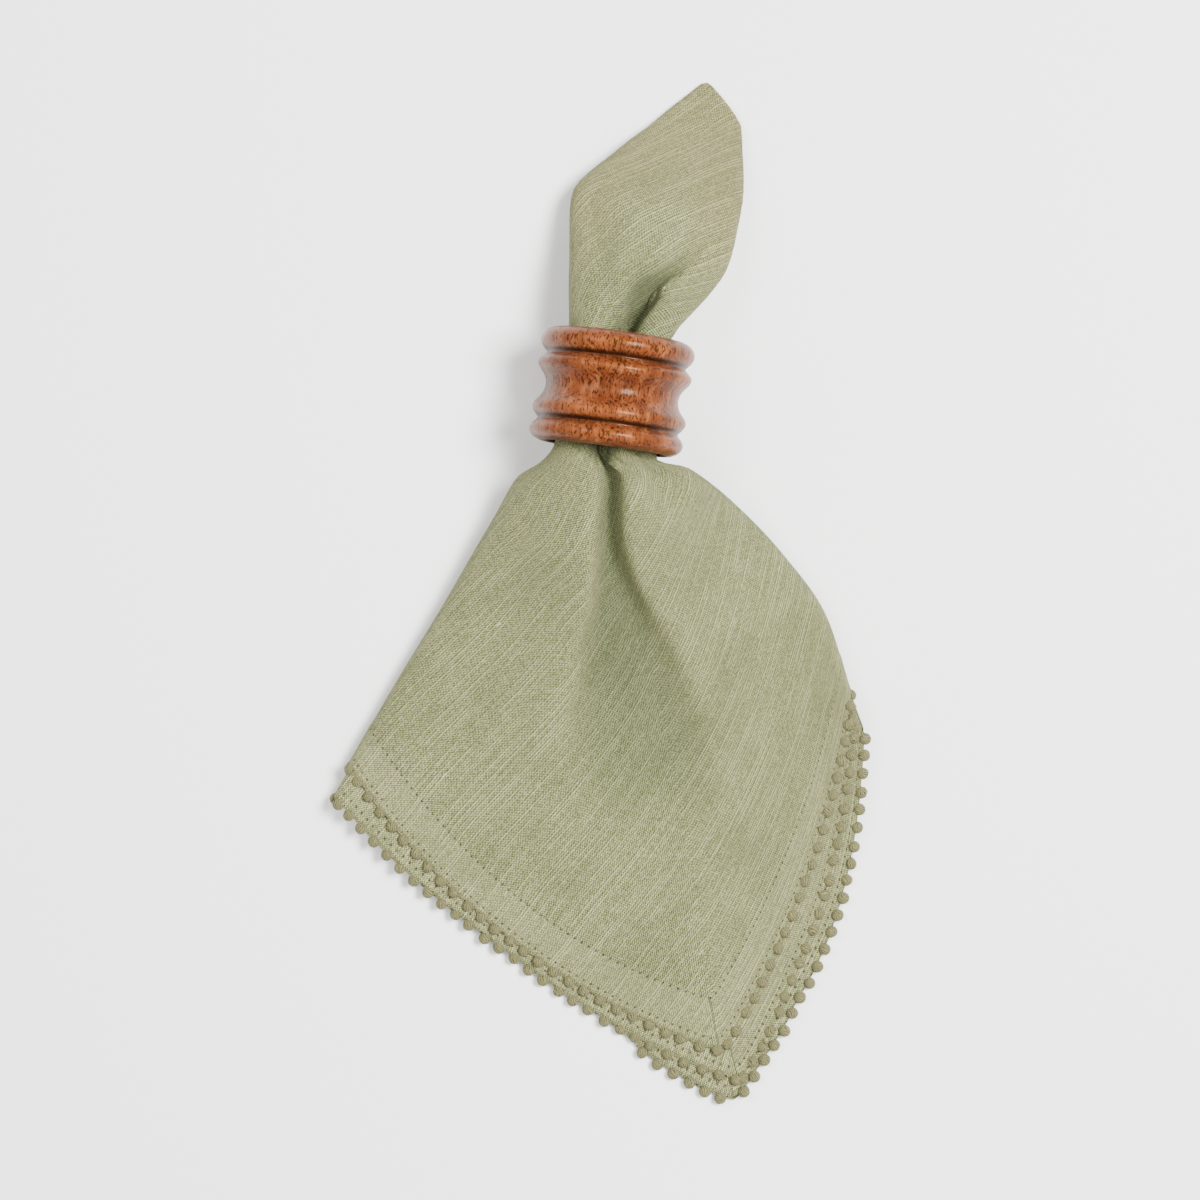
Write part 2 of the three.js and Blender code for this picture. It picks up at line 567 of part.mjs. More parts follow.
// hem faces between the two loops
{
  const P = loopsP[loopsP.length - 1], Q = loopsQ[loopsQ.length - 1];
  const m = n + 1;
  const P1 = P.slice(0, m), c12 = P[m], P2 = P.slice(m + 1, 2 * m + 1);
  const P3 = P.slice(2 * m + 1, 3 * m + 1), c34 = P[3 * m + 1], P4 = P.slice(3 * m + 2, 4 * m + 2), c14 = P[4 * m + 2];
  const Q1 = Q.slice(0, m), Q2 = Q.slice(m, 2 * m), tOut = Q[2 * m], Q3 = Q.slice(2 * m + 1, 3 * m + 1);
  const Q4 = Q.slice(3 * m + 1, 4 * m + 1), tIn = Q[4 * m + 1];
  const strip = (a, b) => {
    for (let i = 0; i + 1 < a.length; i++) quad(a[i], b[i], b[i + 1], a[i + 1]);
  };
  strip(P1, Q1);
  strip(P2, Q2);
  strip(P3, Q3);
  strip(P4, Q4);
  // folded edges: 1 to 2, 2 to 3, 3 to 4, 4 to 1
  triangles.push([P1[n], Q1[n], c12], [c12, Q1[n], P2[0]]);
  triangles.push([P2[n], Q2[n], tOut], [P2[n], tOut, Q3[0]]);
  triangles.push([P3[n], Q3[n], c34], [c34, Q3[n], P4[0]]);
  quad(P4[n], Q4[n], tIn, c14);
  quad(c14, tIn, Q1[0], P1[0]);
}

function geometryOf(points, faces) {
  const geometry = new THREE.BufferGeometry();
  geometry.setAttribute("position", new THREE.BufferAttribute(new Float32Array(points.flat()), 3));
  geometry.setIndex(faces.flat());
  return geometry;
}
// Turns faces outwards: a closed mesh with a negative volume is reversed
function facingOut(points, faces) {
  let volume = 0;
  for (const [a, b, c] of faces) volume += dot(points[a], cross(points[b], points[c])) / 6;
  return volume < 0 ? faces.map(([a, b, c]) => [a, c, b]) : faces;
}
const napkinGeometry = geometryOf(vertices, facingOut(vertices, triangles));

// The trim, on the lengths of hem that show. Each length runs on one layer from a side roll to the corner.
const hem = hems[hems.length - 1];
const prior = hems[hems.length - 2];
const LEFT_ROLL = RAYS.flap + RAYS.roll - 1; // rays where the rolls meet the front
const RIGHT_ROLL = RAY_COUNT - LEFT_ROLL;
const TRIMS = {
  trim_top_left: { layer: 1, from: LEFT_ROLL, to: MIDDLE, phase: 0 },
  trim_top_right: { layer: 1, from: MIDDLE, to: RIGHT_ROLL, phase: 0.2 },
  trim_second_left: { layer: 2, from: LEFT_ROLL, to: MIDDLE, phase: 0.2 },
  trim_second_right: { layer: 2, from: MIDDLE, to: RIGHT_ROLL - 1, phase: 0.45 },
  trim_third_left: { layer: 3, from: MIDDLE - 3, to: MIDDLE, phase: 0.3 },
  trim_third_right: { layer: 3, from: MIDDLE, to: RIGHT_ROLL - 2, phase: 0.4 },
};
function trimPath({ layer, from, to }) {
  const path = [];
  for (let j = from; j <= to; j++) {
    const top = hem.tops[layer][j], bottom = hem.bottoms[layer][j];
    const normal = unit(sub(top, bottom));
    path.push({ p: add(mix(top, bottom, 0.5), normal, TAPE.lift), n: normal, outward: unit(sub(top, prior.tops[layer][j])) });
  }
  return path;
}
function solid(points, faces) {
  const g = mergeVertices(geometryOf(points, facingOut(points, faces)), 1e-4);
  return new wasm.Manifold(
    new wasm.Mesh({ numProp: 3, vertProperties: g.attributes.position.array, triVerts: new Uint32Array(g.index.array) }),
  );
}
function tapeOf(trim) {
  const path = trimPath(trim);
  const count = path.length;
  const points = [], faces = [], frames = [];
  for (let i = 0; i < count; i++) {
    const before = path[Math.max(0, i - 1)], after = path[Math.min(count - 1, i + 1)];
    const tangent = unit(sub(after.p, before.p));
    let out = unit(cross(tangent, path[i].n));
    if (dot(out, path[i].outward) < 0) out = out.map((v) => -v);
    const up = unit(cross(tangent, out));
    frames.push({ p: path[i].p, tangent, out, normal: path[i].n });
    for (const [a, b] of [[0, -1], [1, -1], [1, 1], [0, 1]])
      points.push(add(add(path[i].p, out, TAPE.gap + a * TAPE.width), up, (b * TAPE.thick) / 2));
  }
  for (let i = 0; i + 1 < count; i++)
    for (let k = 0; k < 4; k++) {
      const a = 4 * i + k, b = 4 * i + ((k + 1) % 4);
      faces.push([a, b, b + 4], [a, b + 4, a + 4]);
    }
  const e = 4 * (count - 1);
  faces.push([0, 2, 1], [0, 3, 2], [e, e + 1, e + 2], [e, e + 2, e + 3]);
  return { frames, body: solid(points, faces) };
}
// A tape with its balls at an even pitch, but for a ball that would touch what is already there
function trimSolid(trim, { frames, body }, others) {
  const count = frames.length;
  const sums = [0];
  for (let i = 1; i < count; i++) sums.push(sums[i - 1] + Math.hypot(...sub(frames[i].p, frames[i - 1].p)));
  const total = sums[count - 1];
  for (let a = BALL.pitch * (0.3 + trim.phase); a < total - 3; a += BALL.pitch) {
    let i = 1;
    while (sums[i] < a) i++;
    const t = (a - sums[i - 1]) / (sums[i] - sums[i - 1]);
    const at = mix(frames[i - 1].p, frames[i].p, t);
    const out = unit(mix(frames[i - 1].out, frames[i].out, t));
    const tangent = unit(mix(frames[i - 1].tangent, frames[i].tangent, t));
    const normal = unit(mix(frames[i - 1].normal, frames[i].normal, t));
    const centre = add(add(at, out, TAPE.gap + TAPE.width + BALL.radius * 0.8), normal, BALL.lift);
    const root = add(at, out, TAPE.gap + TAPE.width * 0.5);
    const axis = unit(sub(centre, root));
    const side = unit(cross(axis, tangent));
    const ring = (c, r, turn) =>
      [0, 1, 2, 3].map((k) => {
        const w = turn + (k * Math.PI) / 2;
        return add(add(c, tangent, r * Math.cos(w)), side, r * Math.sin(w));
      });
    const shape = (k) => [
      ...ring(root, BALL.stalk * 0.75, Math.PI / 4),
      ...ring(centre, BALL.radius * k, Math.PI / 4),
      add(centre, axis, BALL.radius * 0.9 * k),
    ];
    const tri = [[0, 2, 1], [0, 3, 2]];
    for (let k = 0; k < 4; k++) {
      const k2 = (k + 1) % 4;
      tri.push([k, k2, 4 + k2], [k, 4 + k2, 4 + k], [4 + k, 4 + k2, 8]);
    }
    const wide = solid(shape(1.2), tri);
    if (others.some((other) => other.intersect(wide).volume() > 0)) continue;
    body = body.add(solid(shape(1), tri));
  }
  return body;
}
const napkinSolid = solid(vertices, triangles);
function geometryFrom(body) {
  const mesh = body.getMesh();
  const geometry = new THREE.BufferGeometry();
  geometry.setAttribute("position", new THREE.BufferAttribute(new Float32Array(mesh.vertProperties), 3));
  geometry.setIndex(new THREE.BufferAttribute(new Uint32Array(mesh.triVerts), 1));
  return geometry;
}

// The ring: a turned profile of four beads with a cove between the middle ones. Heights along its axis
// from the upper end, and radii.
const R = RING.outer;
const PROFILE = [
  [0.0, RING.bore + 1.4], [0.5, RING.bore + 2.4], [1.0, R - 2.2], [2.6, R - 0.6], [4.6, R], [6.6, R - 0.6], [8.4, R - 2.2],
  [9.2, R - 3.0], [10.0, R - 2.2], [11.4, R - 0.5], [12.9, R], [14.4, R - 0.6], [16.2, R - 2.4],
  [18.2, R - 3.6], [20.3, R - 3.9], [22.4, R - 3.6], [24.6, R - 2.4],
  [26.4, R - 0.6], [28.0, R], [29.6, R - 0.5], [31.2, R - 2.0], [32.0, R - 2.8],
  [32.8, R - 2.0], [34.2, R - 0.5], [35.8, R], [37.6, R - 0.6], [39.0, R - 2.2], [39.5, RING.bore + 2.4], [40.0, RING.bore + 1.4],
  [38.6, RING.bore], [1.4, RING.bore],
];
const profile = PROFILE.map(([along, radius]) => new THREE.Vector2(radius, RING.length / 2 - along));
profile.push(profile[0].clone());
const ringGeometry = new THREE.LatheGeometry(profile.reverse(), 36);

const linen = new THREE.MeshStandardMaterial({ color: 0xaaac87, roughness: 0.9, metalness: 0, side: THREE.DoubleSide });
const yarn = new THREE.MeshStandardMaterial({ color: 0xb4ae80, roughness: 0.95, metalness: 0 });
const wood = new THREE.MeshStandardMaterial({ color: 0x8a4a2b, roughness: 0.45, metalness: 0 });

const part = new THREE.Group();
const named = (name, geometry, material) => {
  const mesh = new THREE.Mesh(geometry, material);
  mesh.name = name;
  part.add(mesh);
  return mesh;
};
named("napkin", napkinGeometry, linen);
const ring = named("ring", ringGeometry, wood);
ring.position.set(RING.x, RING.y, RING.outer);
ring.rotation.z = (RING.tilt * Math.PI) / 180;
const tapes = Object.entries(TRIMS).map(([name, trim]) => ({ name, trim, ...tapeOf(trim) }));
for (const tape of tapes) {
  const others = [napkinSolid, ...tapes.filter((other) => other !== tape).map((other) => other.body)];
  tape.body = trimSolid(tape.trim, tape, others);
  named(tape.name, geometryFrom(tape.body), yarn);
}

// The origin: the middle of the bounding box, on the table
const middle = new THREE.Box3().setFromObject(part, true).getCenter(new THREE.Vector3());
for (const mesh of part.children) {
  mesh.position.x -= middle.x;
  mesh.position.y -= middle.y;
}

export default part;
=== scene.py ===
# %% [markdown]
# # A linen napkin drawn through a turned wooden ring
# The real napkin is one hemmed square of linen with ball trim on its four sides. It is folded in
# quarters, and the folded centre is pulled up through the ring. Everything here is in metres, in the
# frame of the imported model, which is loaded first and never moved.

# %% The frame
import math

import bmesh
import bpy
import numpy as np
from mathutils import Matrix, Vector


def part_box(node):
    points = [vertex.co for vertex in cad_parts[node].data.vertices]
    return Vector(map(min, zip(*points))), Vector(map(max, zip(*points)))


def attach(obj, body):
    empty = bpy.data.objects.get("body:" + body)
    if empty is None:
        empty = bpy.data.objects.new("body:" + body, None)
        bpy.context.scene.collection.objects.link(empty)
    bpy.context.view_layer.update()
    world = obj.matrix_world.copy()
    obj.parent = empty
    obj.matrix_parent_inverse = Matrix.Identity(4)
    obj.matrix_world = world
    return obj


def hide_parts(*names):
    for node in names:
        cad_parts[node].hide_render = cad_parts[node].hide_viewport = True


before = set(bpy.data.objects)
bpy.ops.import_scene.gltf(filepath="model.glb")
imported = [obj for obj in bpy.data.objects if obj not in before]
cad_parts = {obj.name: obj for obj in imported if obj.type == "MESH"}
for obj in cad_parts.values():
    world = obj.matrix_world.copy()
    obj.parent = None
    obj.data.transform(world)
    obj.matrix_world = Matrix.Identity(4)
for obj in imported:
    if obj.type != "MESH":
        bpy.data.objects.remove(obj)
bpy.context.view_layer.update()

MM = 0.001
print("nodes:", sorted(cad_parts))

# %% [markdown]
# ## One frame
# The sections below are written in millimetres from a point under the neck of the napkin. The ring was
# placed from the same point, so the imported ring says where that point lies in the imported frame.

# %% Where the sections' own origin lies
RING_X = 4.2
RING_Y = 72.0
RING_TILT = -7.6
RING_OUTER = 27.0
RING_BORE = 20.8
RING_LENGTH = 40.0
ring_low, ring_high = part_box("ring")
SHIFT = np.array(
    [
        (ring_low[0] + ring_high[0]) / 2 / MM - RING_X,
        (ring_low[1] + ring_high[1]) / 2 / MM - RING_Y,
        0.0,
    ]
)
print("sections are shifted by", SHIFT.round(3), "mm")

# %% [markdown]
# ## The folded stack as a row of sections
# A folded cloth is easiest to describe by what a ruler would find. At each station, measured along the
# diagonal from the tip, a row gives the two silhouettes, the height of the front, the height of the
# underside, and how tightly the sides are rolled. Smooth curves join the rows. A cloth simulation would
# fall where it likes. A table puts each fold where the real one lies, and the solid model follows the
# same rows.

# %% Sections and folds, in millimetres
HALF_SIDE = 254.0
NECK_END = 138.0
HEM = HALF_SIDE * math.sqrt(2)
STACK = 2.4
LAYER = 1.0
PARTING = 0.3
PART_FROM = 214.0
PART_FULL = 262.0
COLUMNS = "station lx ly rx ry mid bow corner top back roll wrap under".split()
SECTIONS = [
    [2, 36.7, 182.2, 39.2, 181.6, 0.5, 0.3, 1, 2.6, -9.6, 6, 0, 0],
    [10, 30.2, 177.0, 45.0, 174.6, 0.5, 3.4, 0.8, 3.6, -9.0, 6, 0, 0],
    [20, 21.7, 170.6, 49.9, 165.6, 0.5, 5.0, 0.5, 7.0, -7.6, 6, 0.25, 0],
    [40, 5.5, 158.2, 50.8, 145.6, 0.5, 5.5, 0.2, 16.0, 0.5, 5.5, 0.9, 0],
    [60, -10.0, 142.6, 47.7, 126.3, 0.56, 5.0, 0, 27.0, 2.2, 8.0, 1, 0],
    [70, -10.8, 132.7, 44.4, 115.4, 0.6, 4.0, 0, 33.0, 3.6, 10.0, 1, 0],
    [80, -10.8, 121.4, 38.7, 107.0, 0.65, 2.5, 0, 38.5, 5.4, 12.5, 1, 0],
    [90, -11.2, 106.0, 31.6, 98.8, 0.69, 0.5, 0, 43.0, 6.4, 16.5, 1, 0],
    [97, -12.0, 95.2, 25.4, 90.2, 0.7, 0, 0, 45.4, 6.5, 18.5, 1, 0],
    [118, -14.4, 74.5, 22.8, 69.5, 0.66, 0, 0, 45.4, 6.5, 18.5, 1, 0],
    [138, -17.0, 54.4, 20.2, 49.4, 0.62, 0, 0, 45.4, 6.5, 18.5, 1, 0],
    [149, -20.6, 48.2, 30.4, 46.2, 0.62, 4.6, 0, 44.0, 6.2, 16.0, 1, 1],
    [165, -29.0, 43.0, 38.6, 41.0, 0.62, 15.6, 0, 39.6, 3.2, 13.2, 1, 4],
    [193, -37.0, 29.7, 44.5, 36.5, 0.605, 34.9, 0.1, 32.0, 0, 10.6, 1, 9],
    [248, -54.4, 0.3, 64.0, 17.0, 0.591, 63.8, 0.35, 19.5, 0, 7.6, 1, 14],
    [304, -71.7, -28.1, 80.0, -5.4, 0.605, 91.7, 0.7, 10.5, 0, 6.2, 1, 16],
    [HEM, -88.5, -57.0, 88.5, -31.8, 0.646, 119.4, 1, 4.4, 0, 5.7, 1, 18],
]
BULGE_LEFT = 14.0
BULGE_RIGHT = 7.0
COVER = {"over": 10.6, "table": 4.9, "from": 5.0, "to": 24.0}
FOLDS = {
    "main": [
        [48, 0.86, 0, 9, 2, 1],
        [60, 0.82, 1.8, 9, 2, 0.7],
        [70, 0.745, 6, 8, 2, 0.45],
        [80, 0.665, 12, 8, 2, 0.36],
        [90, 0.625, 17, 7, 2, 0.36],
        [98, 0.61, 18, 6, 2, 0.4],
        [118, 0.54, 14, 6, 2, 0.6],
        [138, 0.465, 11.5, 4.2, 2, 1],
        [150, 0.475, 11, 3.8, 2, 1],
        [160, 0.48, 10.5, 3.8, 2, 1],
        [172, 0.488, 10, 4.4, 3, 1],
        [182, 0.492, 10, 6.4, 4, 1],
        [192, 0.493, 9.8, 9, 5, 1],
        [206, 0.493, 9.4, 13.5, 5, 1],
        [222, 0.49, 8.8, 18.8, 6, 1],
        [248, 0.484, 6.6, 26.4, 6, 1],
        [270, 0.474, 3.2, 31, 5, 1],
        [288, 0.464, 1.2, 33, 4, 1],
        [312, 0.46, 0, 35, 4, 1],
    ],
    "lobe_edge": [
        [64, 0.44, 0, 3, 2, 2],
        [74, 0.465, 1.2, 3, 2, 2],
        [82, 0.51, 2.2, 3, 2, 2],
        [90, 0.56, 2.6, 3, 2, 1.5],
        [100, 0.58, 0, 3, 2, 1],
    ],
    "right_crease": [
        [66, 0.97, 0, 4, 2, 1],
        [78, 0.92, 1.8, 4, 2, 1],
        [88, 0.86, 3, 4, 2, 1],
        [98, 0.84, 3, 4, 2, 1],
        [112, 0.84, 0, 4, 2, 1],
    ],
    "right_tuck": [
        [128, 0.81, 0, 3, 2, 1],
        [140, 0.8, 5.5, 3, 2, 1],
        [149, 0.79, 6, 3.2, 2, 1],
        [157, 0.77, 2.4, 4, 2, 1],
        [168, 0.75, 0, 5, 2, 1],
    ],
    "left_dimple": [[56, 0.24, 0, 6, 2, 1], [70, 0.24, 1.5, 6, 2, 1], [84, 0.24, 0, 6, 2, 1]],
    "left_under": [
        [88, -0.5, 0, 6, 2, 1],
        [100, -0.5, 7, 5, 2, 1],
        [134, -0.5, 7, 5, 2, 1],
        [150, -0.5, 0, 6, 2, 1],
    ],
    "right_under": [
        [88, 1.5, 0, 6, 2, 1],
        [100, 1.5, 7, 5, 2, 1],
        [134, 1.5, 7, 5, 2, 1],
        [150, 1.5, 0, 6, 2, 1],
    ],
}
SHIFTS = {
    2: [[1, -3.5], [-3.2, -13.0], [6.0, -10.6], [6.6, -10.6], [6.4, -8.7], [0.6, -4.3], [0, 0]],
    3: [[1, -3.5], [-2.0, -10.5], [6.9, -9.0], [5.2, -18.0], [12.3, -13.0], [3.4, -8.0], [0.5, -4.5]],
    4: [[0, 0], [-1.0, -8.0], [5.5, -7.0], [3.4, -15.0], [9.0, -11.0], [1.0, -3.0], [0.5, -4.5]],
}
SHIFT_FROM = 250.0

# %% [markdown]
# ## Smooth curves through the tables
# Straight lines between the rows would leave a crease across the cloth at each of them. A monotone cubic
# passes through every row and never overshoots between two of them, so a fold can't bulge where no row
# says so.


# %% A curve through points
def smooth_curve(xs, ys):
    xs = [float(x) for x in xs]
    ys = [float(y) for y in ys]
    gaps = [b - a for a, b in zip(xs, xs[1:])]
    rates = [(b - a) / gap for a, b, gap in zip(ys, ys[1:], gaps)]
    slopes = [rates[0]]
    for i in range(1, len(xs) - 1):
        if rates[i - 1] * rates[i] <= 0:
            slopes.append(0.0)
        else:
            both = gaps[i - 1] + gaps[i]
            slopes.append(both / (gaps[i - 1] / rates[i - 1] + gaps[i] / rates[i]))
    slopes.append(rates[-1])

    def at(x):
        if x <= xs[0]:
            return ys[0] + slopes[0] * (x - xs[0])
        if x >= xs[-1]:
            return ys[-1] + slopes[-1] * (x - xs[-1])
        i = 0
        while x > xs[i + 1]:
            i += 1
        t = (x - xs[i]) / gaps[i]
        return (
            (1 + 2 * t) * (1 - t) ** 2 * ys[i]
            + t * (1 - t) ** 2 * gaps[i] * slopes[i]
            + t * t * (3 - 2 * t) * ys[i + 1]
            + t * t * (t - 1) * gaps[i] * slopes[i + 1]
        )

    return at


def ease(a, b, x):
    t = min(1.0, max(0.0, (x - a) / (b - a)))
    return t * t * (3 - 2 * t)


# %% The tables as curves
section_stations = [row[0] for row in SECTIONS]
section_curves = {
    name: smooth_curve(section_stations, [row[k + 1] for row in SECTIONS])
    for k, name in enumerate(COLUMNS[1:])
}
fold_curves = [
    (
        rows[0][0],
        rows[-1][0],
        [smooth_curve([r[0] for r in rows], [r[k] for r in rows]) for k in (1, 2, 3, 4, 5)],
    )
    for rows in FOLDS.values()
]


def section_at(station):
    c = {name: at(station) for name, at in section_curves.items()}
    c["station"] = station
    return c


def folds_at(station):
    return [[f(station) for f in parts] for first, last, parts in fold_curves if first < station < last]


print(len(SECTIONS), "sections and", len(FOLDS), "folds")

# %% [markdown]
# ## The plan of one section
# Seen from above, a section's front is a line that bows towards the hem. Near the tip and near the hem
# it runs into a corner, which is the corner of the folded quarter.


# %% Front line and underside line in plan
PLAN_POINTS = 121


def front_line(c, f):
    chord = np.array([c["rx"] - c["lx"], c["ry"] - c["ly"]])
    along = chord / np.linalg.norm(chord)
    out = np.array([along[1], -along[0]])
    start = np.array([c["lx"], c["ly"]])
    even = c["bow"] / (4 * c["mid"] * (1 - c["mid"]))
    peak = start + chord * c["mid"] + out * c["bow"]
    f = f[:, None]
    arc = start + chord * f + out * even * 4 * f * (1 - f)
    left = f < c["mid"]
    x = np.where(left, f / c["mid"], (f - c["mid"]) / (1 - c["mid"]))
    a = np.where(left, start, peak)
    b = np.where(left, peak, start + chord)
    side = b - a
    size = np.maximum(np.linalg.norm(side, axis=1, keepdims=True), 1e-9)
    swell = c["corner"] if c["station"] > NECK_END else 0.0
    bulge = np.where(left, BULGE_LEFT, BULGE_RIGHT) * swell * 4 * x * (1 - x)
    bent = a + side * x + np.stack([side[:, 1], -side[:, 0]], 1) / size * bulge
    return arc + (bent - arc) * c["corner"]


def back_line(c, f):
    chord = np.array([c["rx"] - c["lx"], c["ry"] - c["ly"]])
    along = chord / np.linalg.norm(chord)
    out = np.array([along[1], -along[0]])
    f = f[:, None]
    return np.array([c["lx"], c["ly"]]) + chord * f + out * c["under"] * 4 * f * (1 - f)


class Measured:
    """A plan line measured by its length."""

    def __init__(self, line, c):
        self.points = line(c, np.linspace(0, 1, PLAN_POINTS))
        steps = np.linalg.norm(np.diff(self.points, axis=0), axis=1)
        self.sums = np.concatenate([[0], np.cumsum(steps)])
        self.total = self.sums[-1]
        self.peak = np.interp(c["mid"], np.linspace(0, 1, PLAN_POINTS), self.sums) / self.total

    def at(self, a):
        return np.stack([np.interp(a, self.sums, self.points[:, k]) for k in (0, 1)], 1)


print("front line at the hem", round(float(Measured(front_line, section_at(HEM)).total), 1), "mm")

# %% [markdown]
# ## One section in full
# From the edge of the left flap the cloth runs flat along the underside, round the side roll, over the
# front, round the other roll and back under. Where it passes over the turned flaps it is held up by
# them, and past them it settles on the table.

# %% A section before its folds
FLAT_COUNT = 16
ARC_COUNT = 12
PANEL_COUNT = 120
SEAM = 0.47
FLAP_GAP = 3.6
STEEPEST_RISE = 0.3
hem_section = section_at(HEM)


def cover_height(plan):
    c = hem_section
    chord = np.array([c["rx"] - c["lx"], c["ry"] - c["ly"]])
    length = np.linalg.norm(chord)
    along = chord / length
    away = plan - np.array([c["lx"], c["ly"]])
    f = away @ along / length
    beyond = away[:, 0] * along[1] - away[:, 1] * along[0] - c["under"] * 4 * f * (1 - f)
    t = np.clip((beyond - COVER["from"]) / (COVER["to"] - COVER["from"]), 0, 1)
    return COVER["over"] + (COVER["table"] - COVER["over"]) * t * t * (3 - 2 * t)


def turned_under(back, under, roll, reach, from_right):
    count = ARC_COUNT + FLAT_COUNT
    if reach < roll:
        bend = math.acos(1 - reach / roll)
        t = np.linspace(0, bend, count + 1)[1:]
        a = roll * (1 - np.cos(t))
        z = back + roll * (1 - np.sin(t))
    else:
        t = np.linspace(0, math.pi / 2, ARC_COUNT + 1)[1:]
        flat = np.linspace(0, 1, FLAT_COUNT + 1)[1:] * (reach - roll)
        a = np.concatenate([roll * (1 - np.cos(t)), roll + flat])
        z = np.concatenate([back + roll * (1 - np.sin(t)), np.full(FLAT_COUNT, back)])
    plan = under.at(under.total - a if from_right else a)
    place = 1 + a / reach if from_right else -a / reach
    return np.column_stack([plan, z]), place


def plain_section(station):
    c = section_at(station)
    front = Measured(front_line, c)
    under = Measured(back_line, c)
    roll = min(c["roll"], front.total / 2 - 0.3)
    start = math.pi / 2 * (1 - min(1.0, c["wrap"]))
    inset = roll * math.cos(start)
    shoulder = max(c["back"] + 2 * roll, c["top"] - STEEPEST_RISE * front.total, STACK + 0.1)
    back = shoulder - 2 * roll
    gap = min(FLAP_GAP, under.total * 0.2)
    left_reach = under.total * SEAM - gap
    right_reach = under.total * (1 - SEAM) - gap
    left, left_place = turned_under(back, under, roll, left_reach, False)
    right, right_place = turned_under(back, under, roll, right_reach, True)
    t = start + (math.pi / 2 - start) * np.arange(ARC_COUNT) / ARC_COUNT
    a = roll * (math.cos(start) - np.cos(t))
    z = back + roll + roll * np.sin(t)
    rise_left = np.column_stack([front.at(a), z])
    rise_right = np.column_stack([front.at(front.total - a), z])[::-1]
    g = np.linspace(0, 1, PANEL_COUNT + 1)
    along = inset + (front.total - 2 * inset) * g
    y = np.where(g < front.peak, g / front.peak, (1 - g) / (1 - front.peak))
    height = shoulder + (c["top"] - shoulder) * (1 - (1 - np.minimum(1, y)) ** 2)
    plan = front.at(along)
    if station > NECK_END:
        height = np.maximum(height, cover_height(plan))
    panel = np.column_stack([plan, height])
    width = front.total
    points = np.concatenate([left[::-1], rise_left, panel, rise_right, right])
    place = np.concatenate(
        [left_place[::-1], a / width, along / width, 1 - a[::-1] / width, right_place]
    )
    return {
        "c": c,
        "points": points,
        "place": place,
        "first": len(left),
        "last": len(points) - len(right) - 1,
        "width": width,
        "peak": front.peak,
        "reach": (left_reach, right_reach),
        "roll": roll,
    }


print("points in the hem's section", len(plain_section(HEM)["points"]))

# %% [markdown]
# ## Pressing the folds in
# A fold is a soft trough. One in the front sinks straight down by its depth, one in the underside moves
# inwards along the cloth's own normal, and both fade to nothing at the trough's edges. A brush could
# press them in by hand, but a depth and a width can be measured and moved. The same normals later stack
# the four layers under one another.


# %% A section with its folds and its normals
NEIGHBOUR = 1.5
FIRST_STATION = 2.0
FOLD_FADE = 0.9
LEVEL_UNTIL = 12
OWN_NORMALS_FROM = 34


def folded_section(station):
    here = plain_section(station)
    before = plain_section(max(FIRST_STATION, station - NEIGHBOUR))["points"]
    after = plain_section(min(HEM, station + NEIGHBOUR))["points"]
    points = here["points"]
    across = np.gradient(points, axis=0)
    normals = np.cross(after - before, across)
    normals /= np.maximum(np.linalg.norm(normals, axis=1, keepdims=True), 1e-9)
    depth = np.zeros(len(points))
    sunk = np.zeros(len(points))
    for place, deep, half_width, flat, steep in folds_at(station):
        scale = here["width"]
        if place < 0:
            scale = here["reach"][0]
        if place > 1:
            scale = here["reach"][1]
        off = (here["place"] - place) * scale
        x = np.abs(off) / np.where(off > 0, half_width * steep, half_width)
        push = deep * np.exp(-(x**flat) * FOLD_FADE)
        if 0 < place < 1:
            sunk += push
        else:
            depth += push
    folded = points - normals * depth[:, None] - np.array([0, 0, 1.0]) * sunk[:, None]
    level = 1 - ease(LEVEL_UNTIL, OWN_NORMALS_FROM, station)
    if level > 0:
        even = normals[here["first"] + ARC_COUNT : here["last"] - ARC_COUNT].sum(0)
        even /= np.linalg.norm(even)
        weak = np.linalg.norm(normals, axis=1, keepdims=True) < 0.5
        share = np.where(weak, 1.0, level)
        normals = normals * (1 - share) + even * share
        normals /= np.linalg.norm(normals, axis=1, keepdims=True)
    steps = np.linalg.norm(np.diff(folded, axis=0), axis=1)
    sums = np.concatenate([[0], np.cumsum(steps)])
    here.update(folded=folded, normals=normals, depth=sunk, sums=sums)
    return here


print("deepest fold at the neck", round(float(folded_section(NECK_END)["depth"].max()), 1), "mm")

# %% [markdown]
# ## Even threads
# The cloth doesn't stretch, so the points across a section are placed by length of cloth: from the
# diagonal out to the folded edge. Each point remembers how far across it lies, because the weave is
# drawn in the flat square's own coordinates.

# %% Points across one layer
FLAP_POINTS = 9
ROLL_POINTS = 8
FRONT_POINTS = 38
ACROSS = 2 * (FLAP_POINTS + ROLL_POINTS + FRONT_POINTS)
MIDDLE = ACROSS // 2
HELD_FROM = 0.85
FEATURED = (20, 80)


def half_cloth(station):
    neck = NECK_END * math.pi / 4
    if station <= NECK_END:
        return station * math.pi / 4
    return neck + (station - NECK_END) / (HEM - NECK_END) * (HALF_SIDE - neck)


def spread(start, end, count):
    return [start + (end - start) * i / count for i in range(count)]


